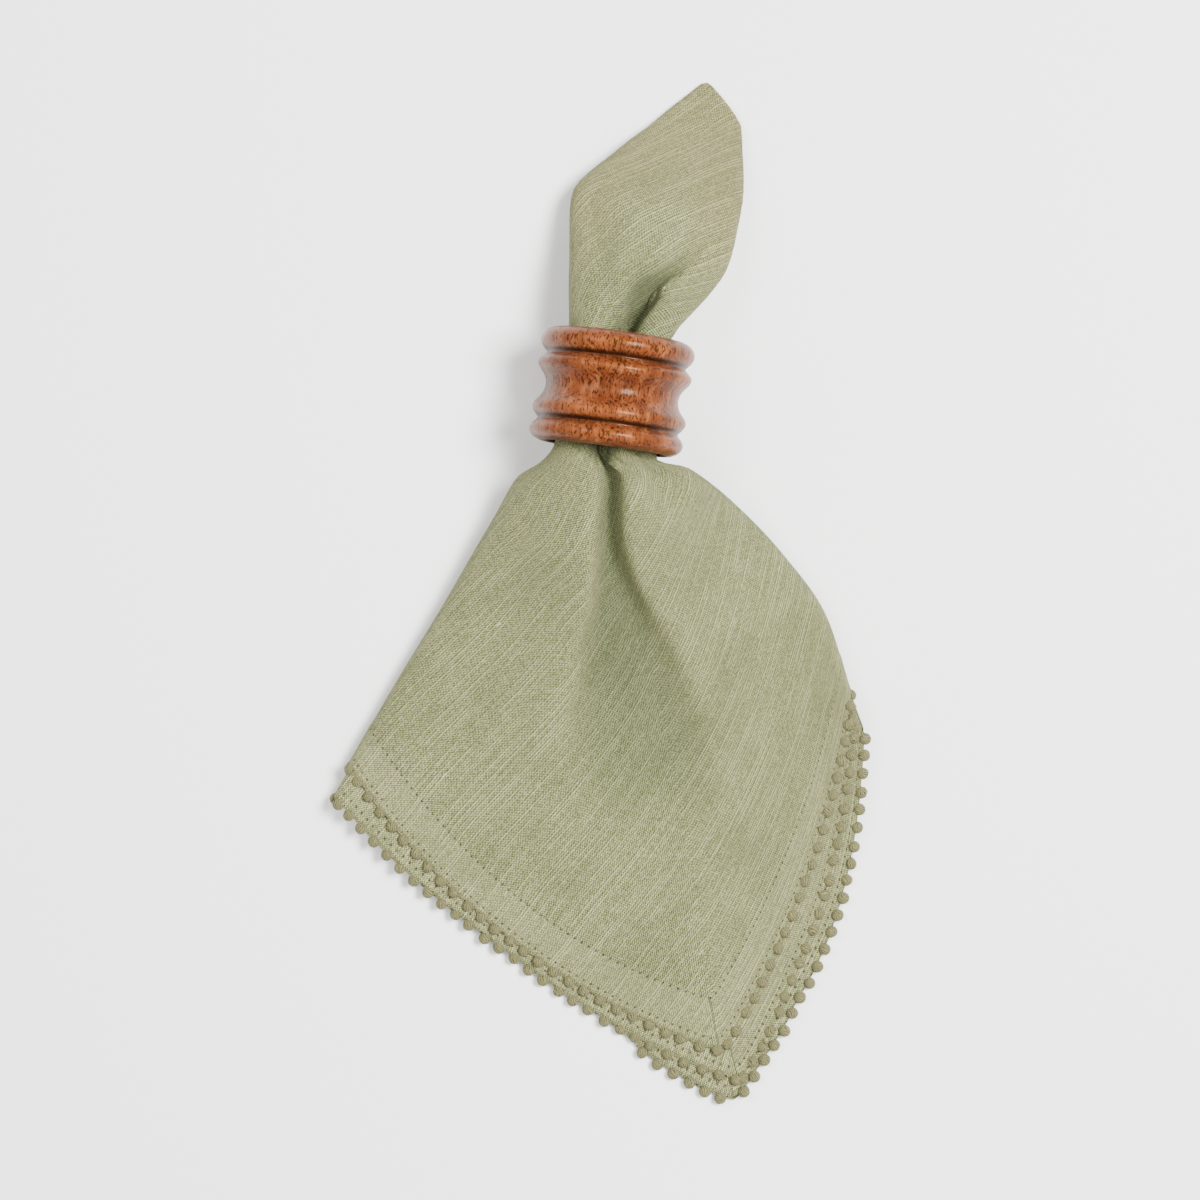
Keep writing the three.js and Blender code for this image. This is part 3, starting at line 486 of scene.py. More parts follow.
def points_across(station):
    s = folded_section(station)
    sums = s["sums"]
    middle = np.interp(s["first"] + ARC_COUNT + s["peak"] * PANEL_COUNT, np.arange(len(sums)), sums)
    cloth = half_cloth(station)
    left = sums[s["first"]]
    right = sums[s["last"]]
    held = ease(HELD_FROM, 1.0, s["c"]["wrap"])
    start = left - held * (left - min(left, max(0.0, middle - cloth)))
    end = right + held * (max(right, min(sums[-1], middle + cloth)) - right)
    quarter = math.pi / 2 * s["roll"]
    low_left = max(start + 0.25 * (left - start), left - quarter)
    low_right = min(end - 0.25 * (end - right), right + quarter)
    marks = (
        spread(start, low_left, FLAP_POINTS)
        + spread(low_left, left, ROLL_POINTS // 2)
        + spread(left, left + quarter, ROLL_POINTS // 2)
        + spread(left + quarter, middle, FRONT_POINTS)
        + spread(middle, right - quarter, FRONT_POINTS)
        + spread(right - quarter, right, ROLL_POINTS // 2)
        + spread(right, low_right, ROLL_POINTS // 2)
        + spread(low_right, end, FLAP_POINTS)
        + [end]
    )
    even = spread(start, middle, MIDDLE) + spread(middle, end, MIDDLE) + [end]
    turned = min(left - start, end - right) * 8
    featured = ease(*FEATURED, turned)
    marks = np.array(marks) * featured + np.array(even) * (1 - featured)
    points = np.stack([np.interp(marks, sums, s["folded"][:, k]) for k in range(3)], 1)
    normals = np.stack([np.interp(marks, sums, s["normals"][:, k]) for k in range(3)], 1)
    normals /= np.maximum(np.linalg.norm(normals, axis=1, keepdims=True), 1e-9)
    depth = np.interp(marks, sums, s["depth"])
    share = np.where(
        np.arange(ACROSS + 1) <= MIDDLE,
        (marks - start) / (middle - start),
        (end - marks) / (end - middle),
    )
    return {"points": points, "normals": normals, "depth": depth, "share": share}


print("cloth from the diagonal to the hem's end", half_cloth(HEM), "mm")

# %% [markdown]
# ## Four layers
# The four quarters of the square lie on one another. In the tip and in the ring they are pressed
# together. Towards the hem they part and slide, so each lower hem shows a little beyond the one above.

# %% Where a layer lies
LEFT_ROLL = FLAP_POINTS + ROLL_POINTS // 2
SHIFT_PLACES = [
    0,
    LEFT_ROLL,
    round(LEFT_ROLL * 0.45 + MIDDLE * 0.55),
    MIDDLE,
    round((ACROSS - LEFT_ROLL) * 0.4 + MIDDLE * 0.6),
    ACROSS - LEFT_ROLL,
    ACROSS,
]
shift_curves = {
    layer: [smooth_curve(SHIFT_PLACES, [row[k] for row in rows]) for k in (0, 1)]
    for layer, rows in SHIFTS.items()
}
shift_tables = {
    layer: np.array([[f(j) for f in curves] + [0.0] for j in range(ACROSS + 1)])
    for layer, curves in shift_curves.items()
}


def layer_points(layer, station, row):
    opened = ease(PART_FROM, PART_FULL, station)
    pitch = STACK / 4 + (LAYER + PARTING - STACK / 4) * opened
    thick = STACK / 4 + (LAYER - STACK / 4) * opened
    depth = (layer - 1) * pitch + thick / 2
    points = row["points"] - row["normals"] * depth
    if layer > 1:
        grow = max(0.0, (station - SHIFT_FROM) / (HEM - SHIFT_FROM)) ** 1.5
        moved = shift_tables[layer] * grow
        normals = row["normals"]
        moved = moved - normals * (moved * normals).sum(1, keepdims=True)
        rest = (4 - layer) * (LAYER + PARTING) * opened
        lowest = row["points"][:, 2] - normals[:, 2] * (depth + thick / 2)
        limit = np.minimum(0, rest - lowest)
        moved[:, 2] = np.where(normals[:, 2] > 0.5, np.maximum(moved[:, 2], limit), moved[:, 2])
        moved[:, 2] = np.where(normals[:, 2] < -0.9, 0, moved[:, 2])
        points = points + moved
    return points


print("layers lie", LAYER + PARTING, "mm apart at the hem")

# %% [markdown]
# ## The cloth as one sheet
# Each station gives one closed ring of points through all four layers: over the top layer, round the
# right fold, back along the second, round the left fold, and so on. Ring after ring, from the tip out
# to the hem, makes the whole square with its three folds and no cut in it. Four loose sheets would be
# simpler, but the folded edges of the real napkin run round from layer to layer, and they show.

# %% Stations of the rings, and the square's own coordinates
STATIONS = np.concatenate(
    [
        [2.0, 4, 7, 10.5, 14, 18, 22, 26],
        np.arange(30, 90, 4.0),
        np.arange(90, 160, 3.5),
        np.arange(160, 206, 4.6),
        np.linspace(206, HEM - 14, 29),
        np.linspace(HEM - 11, HEM, 6),
    ]
)
EDGE_POINTS = 2
TUCK_POINTS = 6
TUCK_CLEAR = 0.3
FOLD_REACH = {1: 0.35, 2: 0.35, 3: 0.35, 4: 0.9}


def square_point(station, share, right):
    angle = share * math.pi / 4
    if station <= NECK_END:
        out, side = station * np.cos(angle), station * np.sin(angle)
    else:
        t = (station - NECK_END) / (HEM - NECK_END)
        out = (1 - t) * NECK_END * np.cos(angle) + t * HALF_SIDE
        side = (1 - t) * NECK_END * np.sin(angle) + t * HALF_SIDE * share
    return np.where(right, side, out), np.where(right, out, side)


def fold_round(a, b, away, reach, count):
    """Points round a folded edge, from a to b."""
    points = []
    for i in range(1, count + 1):
        t = i / (count + 1)
        points.append(a + (b - a) * t + away * reach * math.sin(math.pi * t))
    return np.array(points)


print(len(STATIONS), "stations from", STATIONS[0], "to", round(float(STATIONS[-1]), 1), "mm")

# %% [markdown]
# How far across the cloth a point lies changes a little from row to row, and the weave would waver with
# it. The shares are evened out along the stations, so that the threads run smoothly towards the neck.

# %% Even shares of cloth
WEAVE_SMOOTHING = 9.0
rows = [points_across(float(station)) for station in STATIONS]
apart = STATIONS[:, None] - STATIONS[None, :]
weights = np.exp(-0.5 * (apart / WEAVE_SMOOTHING) ** 2)
weights /= weights.sum(1, keepdims=True)
even_shares = weights @ np.array([row["share"] for row in rows])
print(len(rows), "rows of", ACROSS + 1, "points across one layer")

# %% Rings of points
rings = []
flats = []
fold_shade_depths = []
SIGNS = {1: (1, 1), 2: (-1, 1), 3: (-1, -1), 4: (1, -1)}
right_half = np.arange(ACROSS + 1) > MIDDLE
for station, row, share in zip(STATIONS, rows, even_shares):
    layers = {k: layer_points(k, station, row) for k in (1, 2, 3, 4)}
    opened = ease(PART_FROM, PART_FULL, station)
    inner = row["points"][1] - row["points"][0]
    inner = inner / max(1e-9, np.linalg.norm(inner))
    tuck = (LAYER + PARTING) * opened + TUCK_CLEAR
    fade = np.clip(1 - np.arange(ACROSS + 1) / TUCK_POINTS, 0, 1)[:, None]
    for k in (2, 3):
        layers[k] = layers[k] + inner * tuck * fade
    left_out = row["points"][0] - row["points"][1]
    left_out = left_out / max(1e-9, np.linalg.norm(left_out))
    right_out = row["points"][-1] - row["points"][-2]
    right_out = right_out / max(1e-9, np.linalg.norm(right_out))
    x, y = square_point(station, share, right_half)
    parts = []
    flat = []
    fold_shade_depth = []
    for k in (1, 2, 3, 4):
        direction, out = (1, right_out) if k in (1, 3) else (-1, left_out)
        layer = layers[k][::direction]
        sign = SIGNS[k]
        follower = layers[k % 4 + 1][::-direction]
        parts.append(layer)
        parts.append(fold_round(layer[-1], follower[0], out, FOLD_REACH[k], EDGE_POINTS))
        square = np.column_stack([x * sign[0], y * sign[1]])[::direction]
        flat.append(square)
        flat.append(np.repeat(square[-1:], EDGE_POINTS, 0))
        # The fold's depth at each point, kept for the painted shade in the folds.
        fold_shade_depth.append(row["depth"][::direction])
        fold_shade_depth.append(np.zeros(EDGE_POINTS))
    rings.append(np.concatenate(parts))
    flats.append(np.concatenate(flat))
    fold_shade_depths.append(np.concatenate(fold_shade_depth))
ring_size = len(rings[0])
print("rings", len(rings), "of", ring_size, "points, triangles about", 2 * len(rings) * ring_size)

# %% [markdown]
# The sheet's mesh is made from these rings, with a small fan over the tip. No operator makes a shape
# like this, so its faces are set one by one. Solidify gives it the thickness of linen, and a doubled one
# in the hem, where the cloth is turned under.

# %% The sheet
CLOTH_THICK = 0.45
HEM_THICK = 0.95
HEM_WIDTH = 13.0
HEM_SLACK = 0.5
TIP_AHEAD = 0.6


def hem_distance(flat):
    return HALF_SIDE - np.abs(flat).max(1)


def napkin_sheet():
    bm = bmesh.new()
    uv = bm.loops.layers.uv.new("cloth")
    # Each point keeps its fold's depth, which sets the painted shade in the folds.
    fold_shade_layer = bm.verts.layers.float.new("fold_shade_depth")
    group = bm.verts.layers.deform.verify()
    ahead = rings[0].mean(0) - rings[1].mean(0)
    tip = bm.verts.new((rings[0].mean(0) + ahead * TIP_AHEAD + SHIFT) * MM)
    place = {tip: (0.0, 0.0)}
    grid = []
    for ring, flat, fold_shade_depth in zip(rings, flats, fold_shade_depths):
        near = hem_distance(flat)
        line = []
        for p, f, d, c in zip((ring + SHIFT) * MM, flat, near, fold_shade_depth):
            v = bm.verts.new(p)
            v[fold_shade_layer] = c
            v[group][0] = HEM_THICK if d < HEM_WIDTH + HEM_SLACK else CLOTH_THICK
            place[v] = (f[0] * MM, f[1] * MM)
            line.append(v)
        grid.append(line)
    tip[group][0] = CLOTH_THICK
    for i in range(ring_size):
        j = (i + 1) % ring_size
        bm.faces.new((tip, grid[0][i], grid[0][j]))
        for upper, lower in zip(grid, grid[1:]):
            bm.faces.new((upper[i], lower[i], lower[j], upper[j]))
    for face in bm.faces:
        face.smooth = True
        for loop in face.loops:
            loop[uv].uv = place[loop.vert]
    mesh = bpy.data.meshes.new("napkin_sheet")
    bm.to_mesh(mesh)
    bm.free()
    piece = bpy.data.objects.new("napkin_sheet", mesh)
    bpy.context.scene.collection.objects.link(piece)
    piece.vertex_groups.new(name="thick")
    wall = piece.modifiers.new("thickness", "SOLIDIFY")
    wall.thickness = MM
    wall.offset = 0
    wall.vertex_group = "thick"
    wall.use_rim = True
    return piece


napkin = napkin_sheet()
print("napkin faces", len(napkin.data.polygons))

# %% [markdown]
# ## Helpers for materials
# A material is a small recipe of nodes. These helpers keep each recipe readable: one makes a node, and
# one does arithmetic on the numbers that run between nodes.


# %% Node helpers
class Recipe:
    """The nodes of one material."""

    def __init__(self, name):
        self.material = bpy.data.materials.new(name)
        self.material.use_nodes = True
        self.tree = self.material.node_tree
        self.shader = self.tree.nodes["Principled BSDF"]

    def add(self, kind, inputs=None, **settings):
        made = self.tree.nodes.new("ShaderNode" + kind)
        for key, value in settings.items():
            setattr(made, key, value)
        for key, value in (inputs or {}).items():
            self.plug(value, made.inputs[key])
        return made

    def plug(self, value, socket):
        if isinstance(value, bpy.types.NodeSocket):
            self.tree.links.new(value, socket)
        else:
            socket.default_value = value

    def do(self, operation, *values):
        made = self.tree.nodes.new("ShaderNodeMath")
        made.operation = operation
        for value, socket in zip(values, made.inputs):
            self.plug(value, socket)
        return made.outputs[0]

    def vector(self, x=0.0, y=0.0, z=0.0):
        return self.add("CombineXYZ", {"X": x, "Y": y, "Z": z}).outputs[0]

    def blend(self, share, a, b):
        made = self.add("Mix", data_type="RGBA")
        self.plug(share, made.inputs[0])
        self.plug(a, made.inputs[6])
        self.plug(b, made.inputs[7])
        return made.outputs[2]

    def band(self, value, low, high):
        made = self.add("MapRange", interpolation_type="SMOOTHSTEP")
        self.plug(value, made.inputs[0])
        self.plug(low, made.inputs[1])
        self.plug(high, made.inputs[2])
        return made.outputs[0]

    def noise(self, place, scale=1.0, detail=2.0, roughness=0.5):
        settings = {"Vector": place, "Scale": scale, "Detail": detail, "Roughness": roughness}
        return self.add("TexNoise", settings).outputs[0]

    def finish(self, colour, height=None, strength=1.0, distance=MM, **sockets):
        self.plug(colour, self.shader.inputs["Base Color"])
        for key, value in sockets.items():
            self.shader.inputs[key.replace("_", " ")].default_value = value
        if height is not None:
            bump = self.add("Bump", {"Height": height, "Strength": strength, "Distance": distance})
            self.plug(bump.outputs[0], self.shader.inputs["Normal"])
        return self.material


def colour(r, g, b, share=1.0):
    """A colour given as 0 to 255 values of a picture, as Blender's linear colour."""
    linear = [((c / 255 + 0.055) / 1.055) ** 2.4 if c > 10 else c / 255 / 12.92 for c in (r, g, b)]
    return (*(c * share for c in linear), 1.0)


# %% [markdown]
# ## Linen
# Linen is a plain weave of two yarns, here sage one way and tan the other. Thick pale slubs run along
# the weft, about one thread in two and a bit, and each breaks off where its yarn grows thin. A picture
# of linen could be laid over the cloth, but it would blur close up, so a recipe of nodes draws each
# thread. It is drawn in the flat square's millimetres, so it follows every fold. The hem's two rows of
# stitches lie at fixed distances from the edge. Cloth that sinks into a fold is mixed towards dark
# green by the fold's depth, a painted shade. Near the folded edges through the square's middle the
# cloth is mixed a little towards straw, a painted sheen on the turning edges.
#
# Below, each pair is where a soft edge starts and ends, and each share is how much of a colour is mixed
# in.

# %% The linen's measures and colours
TO_MM = 1000.0
THREAD = 0.42
WANDER = 0.8
PALE_CROSSINGS = 0.22
DARK_CROSSINGS = 0.35
LINE_PITCH = 0.98
LINE_JITTER = 0.35
SLUB_EDGE = (0.18, 0.06)
SLUB_RUN = (0.46, 0.58)
SLUB_TONE = (-0.3, 0.8)
RUN_SCALE = 0.035
RUN_APART = 7.31
BETWEEN_EDGE = (0.24, 0.38)
BETWEEN_SHARE = 0.34
KNOT = (0.74, 0.8)
KNOT_SHARE = 0.5
KNOT_SCALE_X = 0.22
KNOT_SCALE_Y = 1.1
PATCH = (0.4, 0.7)
PATCH_SHARE = 0.18
# Painted sheen on the folded edges: how far from the square's middle lines, and how much straw.
FOLD_EDGE_SHEEN_RANGE = (45.0, 4.0)
FOLD_EDGE_SHEEN_SHARE = 0.3
# Painted shade in the folds: the fold depths over which dark green comes in, and how much.
SHADE_DEPTH_RANGE = (0.6, 12.0)
FOLD_SHADE_SHARE = 0.58
HEM_SHARE = 0.05
THREAD_SHARE = 0.16
HOLE_SHARE = 0.74
DIM = 0.65
SAGE = colour(46, 72, 36, DIM)
TAN = colour(198, 197, 137, DIM)
CREAM = colour(244, 238, 180, 0.84)
# The dark green of the painted shade in the folds.
FOLD_SHADE_GREEN = colour(50, 66, 42, DIM)
GAP = colour(24, 36, 16, DIM)
# The straw of the painted sheen on the folded edges.
STRAW_SHEEN = colour(150, 132, 92, DIM)
HOLE = colour(30, 32, 18, DIM)
STITCH_ROWS = (2.2, HEM_WIDTH)
STITCH_PITCH = 2.9
STITCH_EDGE = (0.34, 0.16)
STITCH_ENDS = (0.38, 0.3)
HOLE_EDGE = (0.6, 0.25)
ROW_EDGE = (0.5, 0.2)
ROW_SHARE = 0.35
MITRE_SHARE = 0.6


# %% The linen material
def linen():
    r = Recipe("linen_weave")
    uv = r.add("UVMap", uv_map="cloth")
    parts = r.add("SeparateXYZ", {"Vector": uv.outputs[0]})
    x = r.do("MULTIPLY", parts.outputs[0], TO_MM)
    y = r.do("MULTIPLY", parts.outputs[1], TO_MM)
    drift = r.noise(r.vector(x, y), scale=0.03, detail=1.0)
    wander = r.do("MULTIPLY", r.do("SUBTRACT", drift, 0.5), WANDER)
    warp = r.do("DIVIDE", r.do("ADD", x, wander), THREAD)
    weft = r.do("DIVIDE", r.do("ADD", y, wander), THREAD)
    over = r.do(
        "MULTIPLY",
        r.do("SINE", r.do("MULTIPLY", warp, math.pi)),
        r.do("SINE", r.do("MULTIPLY", weft, math.pi)),
    )
    crossing = r.vector(r.do("FLOOR", warp), r.do("FLOOR", weft))
    grain = r.add("TexWhiteNoise", {"Vector": crossing}, noise_dimensions="2D").outputs[0]
    upper = r.band(over, -0.35, 0.35)
    cloth = r.blend(upper, SAGE, TAN)
    cloth = r.blend(r.do("MULTIPLY", r.band(grain, 0.6, 1.0), PALE_CROSSINGS), cloth, CREAM)
    cloth = r.blend(r.do("MULTIPLY", r.band(grain, 0.5, 0.0), DARK_CROSSINGS), cloth, GAP)
    line = r.do("DIVIDE", r.do("ADD", y, wander), LINE_PITCH)
    line_number = r.do("FLOOR", line)
    line_tone = r.add("TexWhiteNoise", {"W": line_number}, noise_dimensions="1D").outputs[0]
    aside = r.do("MULTIPLY", r.do("SUBTRACT", line_tone, 0.5), LINE_JITTER)
    off_line = r.do("ABSOLUTE", r.do("SUBTRACT", r.do("SUBTRACT", r.do("FRACT", line), 0.5), aside))
    run_x = r.do("MULTIPLY", x, RUN_SCALE)
    run = r.noise(r.vector(run_x, r.do("MULTIPLY", line_number, RUN_APART)))
    slub = r.do("MULTIPLY", r.band(off_line, *SLUB_EDGE), r.band(run, *SLUB_RUN))
    slub = r.do("MULTIPLY", slub, r.band(line_tone, *SLUB_TONE))
    knot_x = r.do("MULTIPLY", x, KNOT_SCALE_X)
    knot = r.noise(r.vector(knot_x, r.do("MULTIPLY", y, KNOT_SCALE_Y)), detail=1.0)
    between = r.do("MULTIPLY", r.band(off_line, *BETWEEN_EDGE), BETWEEN_SHARE)
    cloth = r.blend(between, cloth, GAP)
    pale = r.do("MULTIPLY", slub, r.do("ADD", r.do("MULTIPLY", upper, 0.4), 0.26))
    cloth = r.blend(pale, cloth, CREAM)
    cloth = r.blend(r.do("MULTIPLY", r.band(knot, *KNOT), KNOT_SHARE), cloth, CREAM)
    patch = r.noise(r.vector(x, y), scale=0.03, detail=3.0)
    cloth = r.blend(r.do("MULTIPLY", r.band(patch, *PATCH), PATCH_SHARE), cloth, SAGE)
    # Painted sheen: near the folded edges through the square's middle the cloth is mixed towards straw.
    from_fold_line = r.do("MINIMUM", r.do("ABSOLUTE", x), r.do("ABSOLUTE", y))
    cloth = r.blend(r.do("MULTIPLY", r.band(from_fold_line, *FOLD_EDGE_SHEEN_RANGE), FOLD_EDGE_SHEEN_SHARE), cloth, STRAW_SHEEN)
    # Painted shade: by the depth of its fold, sunk cloth is mixed towards dark green.
    depth = r.add("Attribute", attribute_name="fold_shade_depth").outputs[2]
    cloth = r.blend(r.do("MULTIPLY", r.band(depth, *SHADE_DEPTH_RANGE), FOLD_SHADE_SHARE), cloth, FOLD_SHADE_GREEN)
    ax = r.do("ABSOLUTE", x)
    ay = r.do("ABSOLUTE", y)
    edge = r.do("SUBTRACT", HALF_SIDE, r.do("MAXIMUM", ax, ay))
    upright = r.do("GREATER_THAN", ax, ay)
    along = r.do("ADD", r.do("MULTIPLY", upright, r.do("SUBTRACT", y, x)), x)
    hem_band = r.do("LESS_THAN", edge, HEM_WIDTH)
    cloth = r.blend(r.do("MULTIPLY", hem_band, HEM_SHARE), cloth, CREAM)
    beat = r.do("ABSOLUTE", r.do("SUBTRACT", r.do("FRACT", r.do("DIVIDE", along, STITCH_PITCH)), 0.5))
    holes = None
    threads = None
    for row in STITCH_ROWS:
        off = r.do("ABSOLUTE", r.do("SUBTRACT", edge, row))
        reach = r.do("MULTIPLY", r.do("SUBTRACT", 0.5, beat), STITCH_PITCH)
        near = r.do("SQRT", r.do("ADD", r.do("POWER", off, 2.0), r.do("POWER", reach, 2.0)))
        faint = r.do("MULTIPLY", r.band(off, *ROW_EDGE), ROW_SHARE)
        hole = r.do("MAXIMUM", r.band(near, *HOLE_EDGE), faint)
        thread = r.do("MULTIPLY", r.band(off, *STITCH_EDGE), r.band(beat, *STITCH_ENDS))
        holes = hole if holes is None else r.do("MAXIMUM", holes, hole)
        threads = thread if threads is None else r.do("MAXIMUM", threads, thread)
    mitre_off = r.do("ABSOLUTE", r.do("SUBTRACT", ax, ay))
    mitre = r.do("MULTIPLY", r.band(mitre_off, *ROW_EDGE), hem_band)
    cloth = r.blend(r.do("MULTIPLY", threads, THREAD_SHARE), cloth, CREAM)
    dark = r.do("MAXIMUM", holes, r.do("MULTIPLY", mitre, MITRE_SHARE))
    cloth = r.blend(r.do("MULTIPLY", dark, HOLE_SHARE), cloth, HOLE)
    height = r.do("ABSOLUTE", over)
    height = r.do("ADD", height, r.do("MULTIPLY", slub, 0.7))
    height = r.do("SUBTRACT", height, r.do("MULTIPLY", holes, 2.0))
    height = r.do("SUBTRACT", height, r.do("MULTIPLY", mitre, 1.5))
    return r.finish(
        cloth,
        height,
        strength=0.8,
        distance=0.00025,
        Roughness=0.9,
        Sheen_Weight=0.08,
        Sheen_Roughness=0.45,
        Sheen_Tint=colour(226, 214, 170),
        Specular_IOR_Level=0.2,
    )


napkin.data.materials.append(linen())
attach(napkin, "root")
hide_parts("napkin")
print("linen slubs every", LINE_PITCH, "mm, stitches every", STITCH_PITCH, "mm")

# %% [markdown]
# ## The turned ring
# The ring was turned on a lathe: a bead at each end, a second bead beside it, and a cove between. It
# could be built up from rings and a tube, which would leave seams. Its profile is drawn once instead and
# spun round the ring's axis, as the wood was, and one level of subdivision rounds the beads.

# %% The ring
R = RING_OUTER
PROFILE = [
    (0.0, RING_BORE + 1.4), (0.5, RING_BORE + 2.4), (1.0, R - 2.2), (2.6, R - 0.6), (4.6, R),
    (6.6, R - 0.6), (8.4, R - 2.2), (9.2, R - 3.0), (10.0, R - 2.2), (11.4, R - 0.5), (12.9, R),
    (14.4, R - 0.6), (16.2, R - 2.4), (18.2, R - 3.6), (20.3, R - 3.9), (22.4, R - 3.6),
    (24.6, R - 2.4), (26.4, R - 0.6), (28.0, R), (29.6, R - 0.5), (31.2, R - 2.0), (32.0, R - 2.8),
    (32.8, R - 2.0), (34.2, R - 0.5), (35.8, R), (37.6, R - 0.6), (39.0, R - 2.2),
    (39.5, RING_BORE + 2.4), (40.0, RING_BORE + 1.4), (38.6, RING_BORE), (30.0, RING_BORE),
    (20.0, RING_BORE), (10.0, RING_BORE), (1.4, RING_BORE),
]


def turned_ring():
    bm = bmesh.new()
    verts = [bm.verts.new((radius * MM, (RING_LENGTH / 2 - along) * MM, 0)) for along, radius in PROFILE]
    edges = [bm.edges.new((a, b)) for a, b in zip(verts, verts[1:] + verts[:1])]
    bmesh.ops.spin(
        bm,
        geom=verts + edges,
        cent=(0, 0, 0),
        axis=(0, 1, 0),
        angle=2 * math.pi,
        steps=72,
        use_merge=True,
    )
    bmesh.ops.recalc_face_normals(bm, faces=bm.faces)
    for face in bm.faces:
        face.smooth = True
    centre = Vector(((RING_X + SHIFT[0]) * MM, (RING_Y + SHIFT[1]) * MM, RING_OUTER * MM))
    turn = Matrix.Translation(centre) @ Matrix.Rotation(math.radians(RING_TILT), 4, "Z")
    bmesh.ops.transform(bm, matrix=turn, verts=bm.verts)
    mesh = bpy.data.meshes.new("ring_turned")
    bm.to_mesh(mesh)
    bm.free()
    piece = bpy.data.objects.new("ring_turned", mesh)
    bpy.context.scene.collection.objects.link(piece)
    rounder = piece.modifiers.new("round", "SUBSURF")
    rounder.levels = 1
    rounder.render_levels = 1
    return piece


ring = turned_ring()
print("ring faces", len(ring.data.polygons))

# %% [markdown]
# ## Varnished wood
# The wood is reddish brown with short dark pores that run along the ring's axis, and paler streaks
# between them. The groove between the two beads at each end is drawn almost black-brown. A thin satin
# varnish gives each bead one soft highlight, and the crests of the beads are painted a little towards
# bright orange, a painted highlight. The grain is noise stretched along the axis. It is read in the
# ring's own turned coordinates, so it runs through the wood from bead to bead.

# %% The wood's measures and colours
GROOVE_AT = 11.4
GROOVE_EDGE = (1.5, 0.2)
PORE_STRETCH = (1500.0, 300.0, 1500.0)
STREAK_STRETCH = (420.0, 110.0, 420.0)
BROAD_STRETCH = (70.0, 45.0, 70.0)
WOOD_DEEP = colour(94, 42, 21, DIM)
WOOD_WARM = colour(136, 72, 40, DIM)
# The orange of a painted highlight on the bead crests.
CREST_HIGHLIGHT_ORANGE = colour(226, 132, 62, DIM)
STREAK_PALE = colour(204, 132, 80, DIM)
STREAK_DARK = colour(62, 26, 12, DIM)
PORE_BROWN = colour(26, 10, 6, DIM)
GROOVE_BROWN = colour(24, 10, 5, DIM)
VARNISH_TINT = colour(255, 176, 110)


# %% The wood material
def wood():
    r = Recipe("wood_varnished")
    place = r.add("TexCoord").outputs["Object"]
    centre = ((RING_X + SHIFT[0]) * MM, (RING_Y + SHIFT[1]) * MM, RING_OUTER * MM)
    moved = r.add("VectorMath", {0: place, 1: centre}, operation="SUBTRACT").outputs[0]
    turned = r.add(
        "VectorRotate",
        {"Vector": moved, "Angle": math.radians(-RING_TILT)},
        rotation_type="Z_AXIS",
    ).outputs[0]

    def stretched(stretch):
        return r.add("VectorMath", {0: turned, 1: stretch}, operation="MULTIPLY").outputs[0]

    pore = r.band(r.noise(stretched(PORE_STRETCH), roughness=0.6), 0.53, 0.58)
    streaks = r.noise(stretched(STREAK_STRETCH), detail=4.0, roughness=0.6)
    broad = r.noise(stretched(BROAD_STRETCH), detail=3.0)
    body = r.blend(r.band(broad, 0.3, 0.7), WOOD_DEEP, WOOD_WARM)
    axes = r.add("SeparateXYZ", {"Vector": turned}).outputs
    squares = r.do("ADD", r.do("POWER", axes[0], 2.0), r.do("POWER", axes[2], 2.0))
    radius = r.do("MULTIPLY", r.do("SQRT", squares), TO_MM)
    # Painted highlight: the crests of the beads are mixed a little towards bright orange.
    crest_highlight = r.band(radius, RING_OUTER - 2.8, RING_OUTER - 0.3)
    body = r.blend(r.do("MULTIPLY", crest_highlight, 0.1), body, CREST_HIGHLIGHT_ORANGE)
    from_middle = r.do("MULTIPLY", r.do("ABSOLUTE", axes[1]), TO_MM)
    # The groove between the two beads at each end is drawn almost black-brown.
    groove = r.band(r.do("ABSOLUTE", r.do("SUBTRACT", from_middle, GROOVE_AT)), *GROOVE_EDGE)
    body = r.blend(r.do("MULTIPLY", r.band(streaks, 0.48, 0.74), 0.36), body, STREAK_PALE)
    body = r.blend(r.do("MULTIPLY", r.band(streaks, 0.5, 0.25), 0.56), body, STREAK_DARK)
    body = r.blend(r.do("MULTIPLY", pore, 0.8), body, PORE_BROWN)
    body = r.blend(r.do("MULTIPLY", groove, 0.92), body, GROOVE_BROWN)
    return r.finish(
        body,
        r.do("MULTIPLY", pore, -1.0),
        strength=0.35,
        distance=0.0002,
        Roughness=0.36,
        Coat_Weight=0.08,
        Coat_Roughness=0.2,
        Specular_IOR_Level=0.24,
        Specular_Tint=VARNISH_TINT,
    )


ring.data.materials.append(wood())
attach(ring, "root")
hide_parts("ring")
print("wood grooves", GROOVE_AT, "mm from the ring's middle")

# %% [markdown]
# ## Ball trim
# The trim is a narrow braid with a small wound ball every 6.4 mm. It is sewn under each hem, so only
# the balls and a thin line of braid show. A modifier could strew copies of one ball, but they would all
# be alike, so each ball is made on its own, turned and squashed a little by chance. It has only a few
# dozen faces, because there are hundreds, and its winding is in its material.

# %% Where the hems run
BALL_RADIUS = 2.2
BALL_PITCH = 6.4
BALL_OUT = 1.2
BRAID_RADIUS = 0.42
BRAID_DROP = 0.1
BRAID_SIDES = 6
starts = {}
cursor = 0
for k in (1, 2, 3, 4):
    starts[k] = cursor
    cursor += ACROSS + 1 + EDGE_POINTS
print("a ring's point where each layer starts:", starts)


def hem_line(layer, first, last):
    """The hem of a layer between two points across, with its outward direction and its normal."""
    line = []
    for j in range(first, last + 1):
        i = starts[layer] + (j if layer in (1, 3) else ACROSS - j)
        p = rings[-1][i]
        out = p - rings[-3][i]
        out = out / np.linalg.norm(out)
        normal = rows[-1]["normals"][j]
        line.append((p, out, normal))
    return line


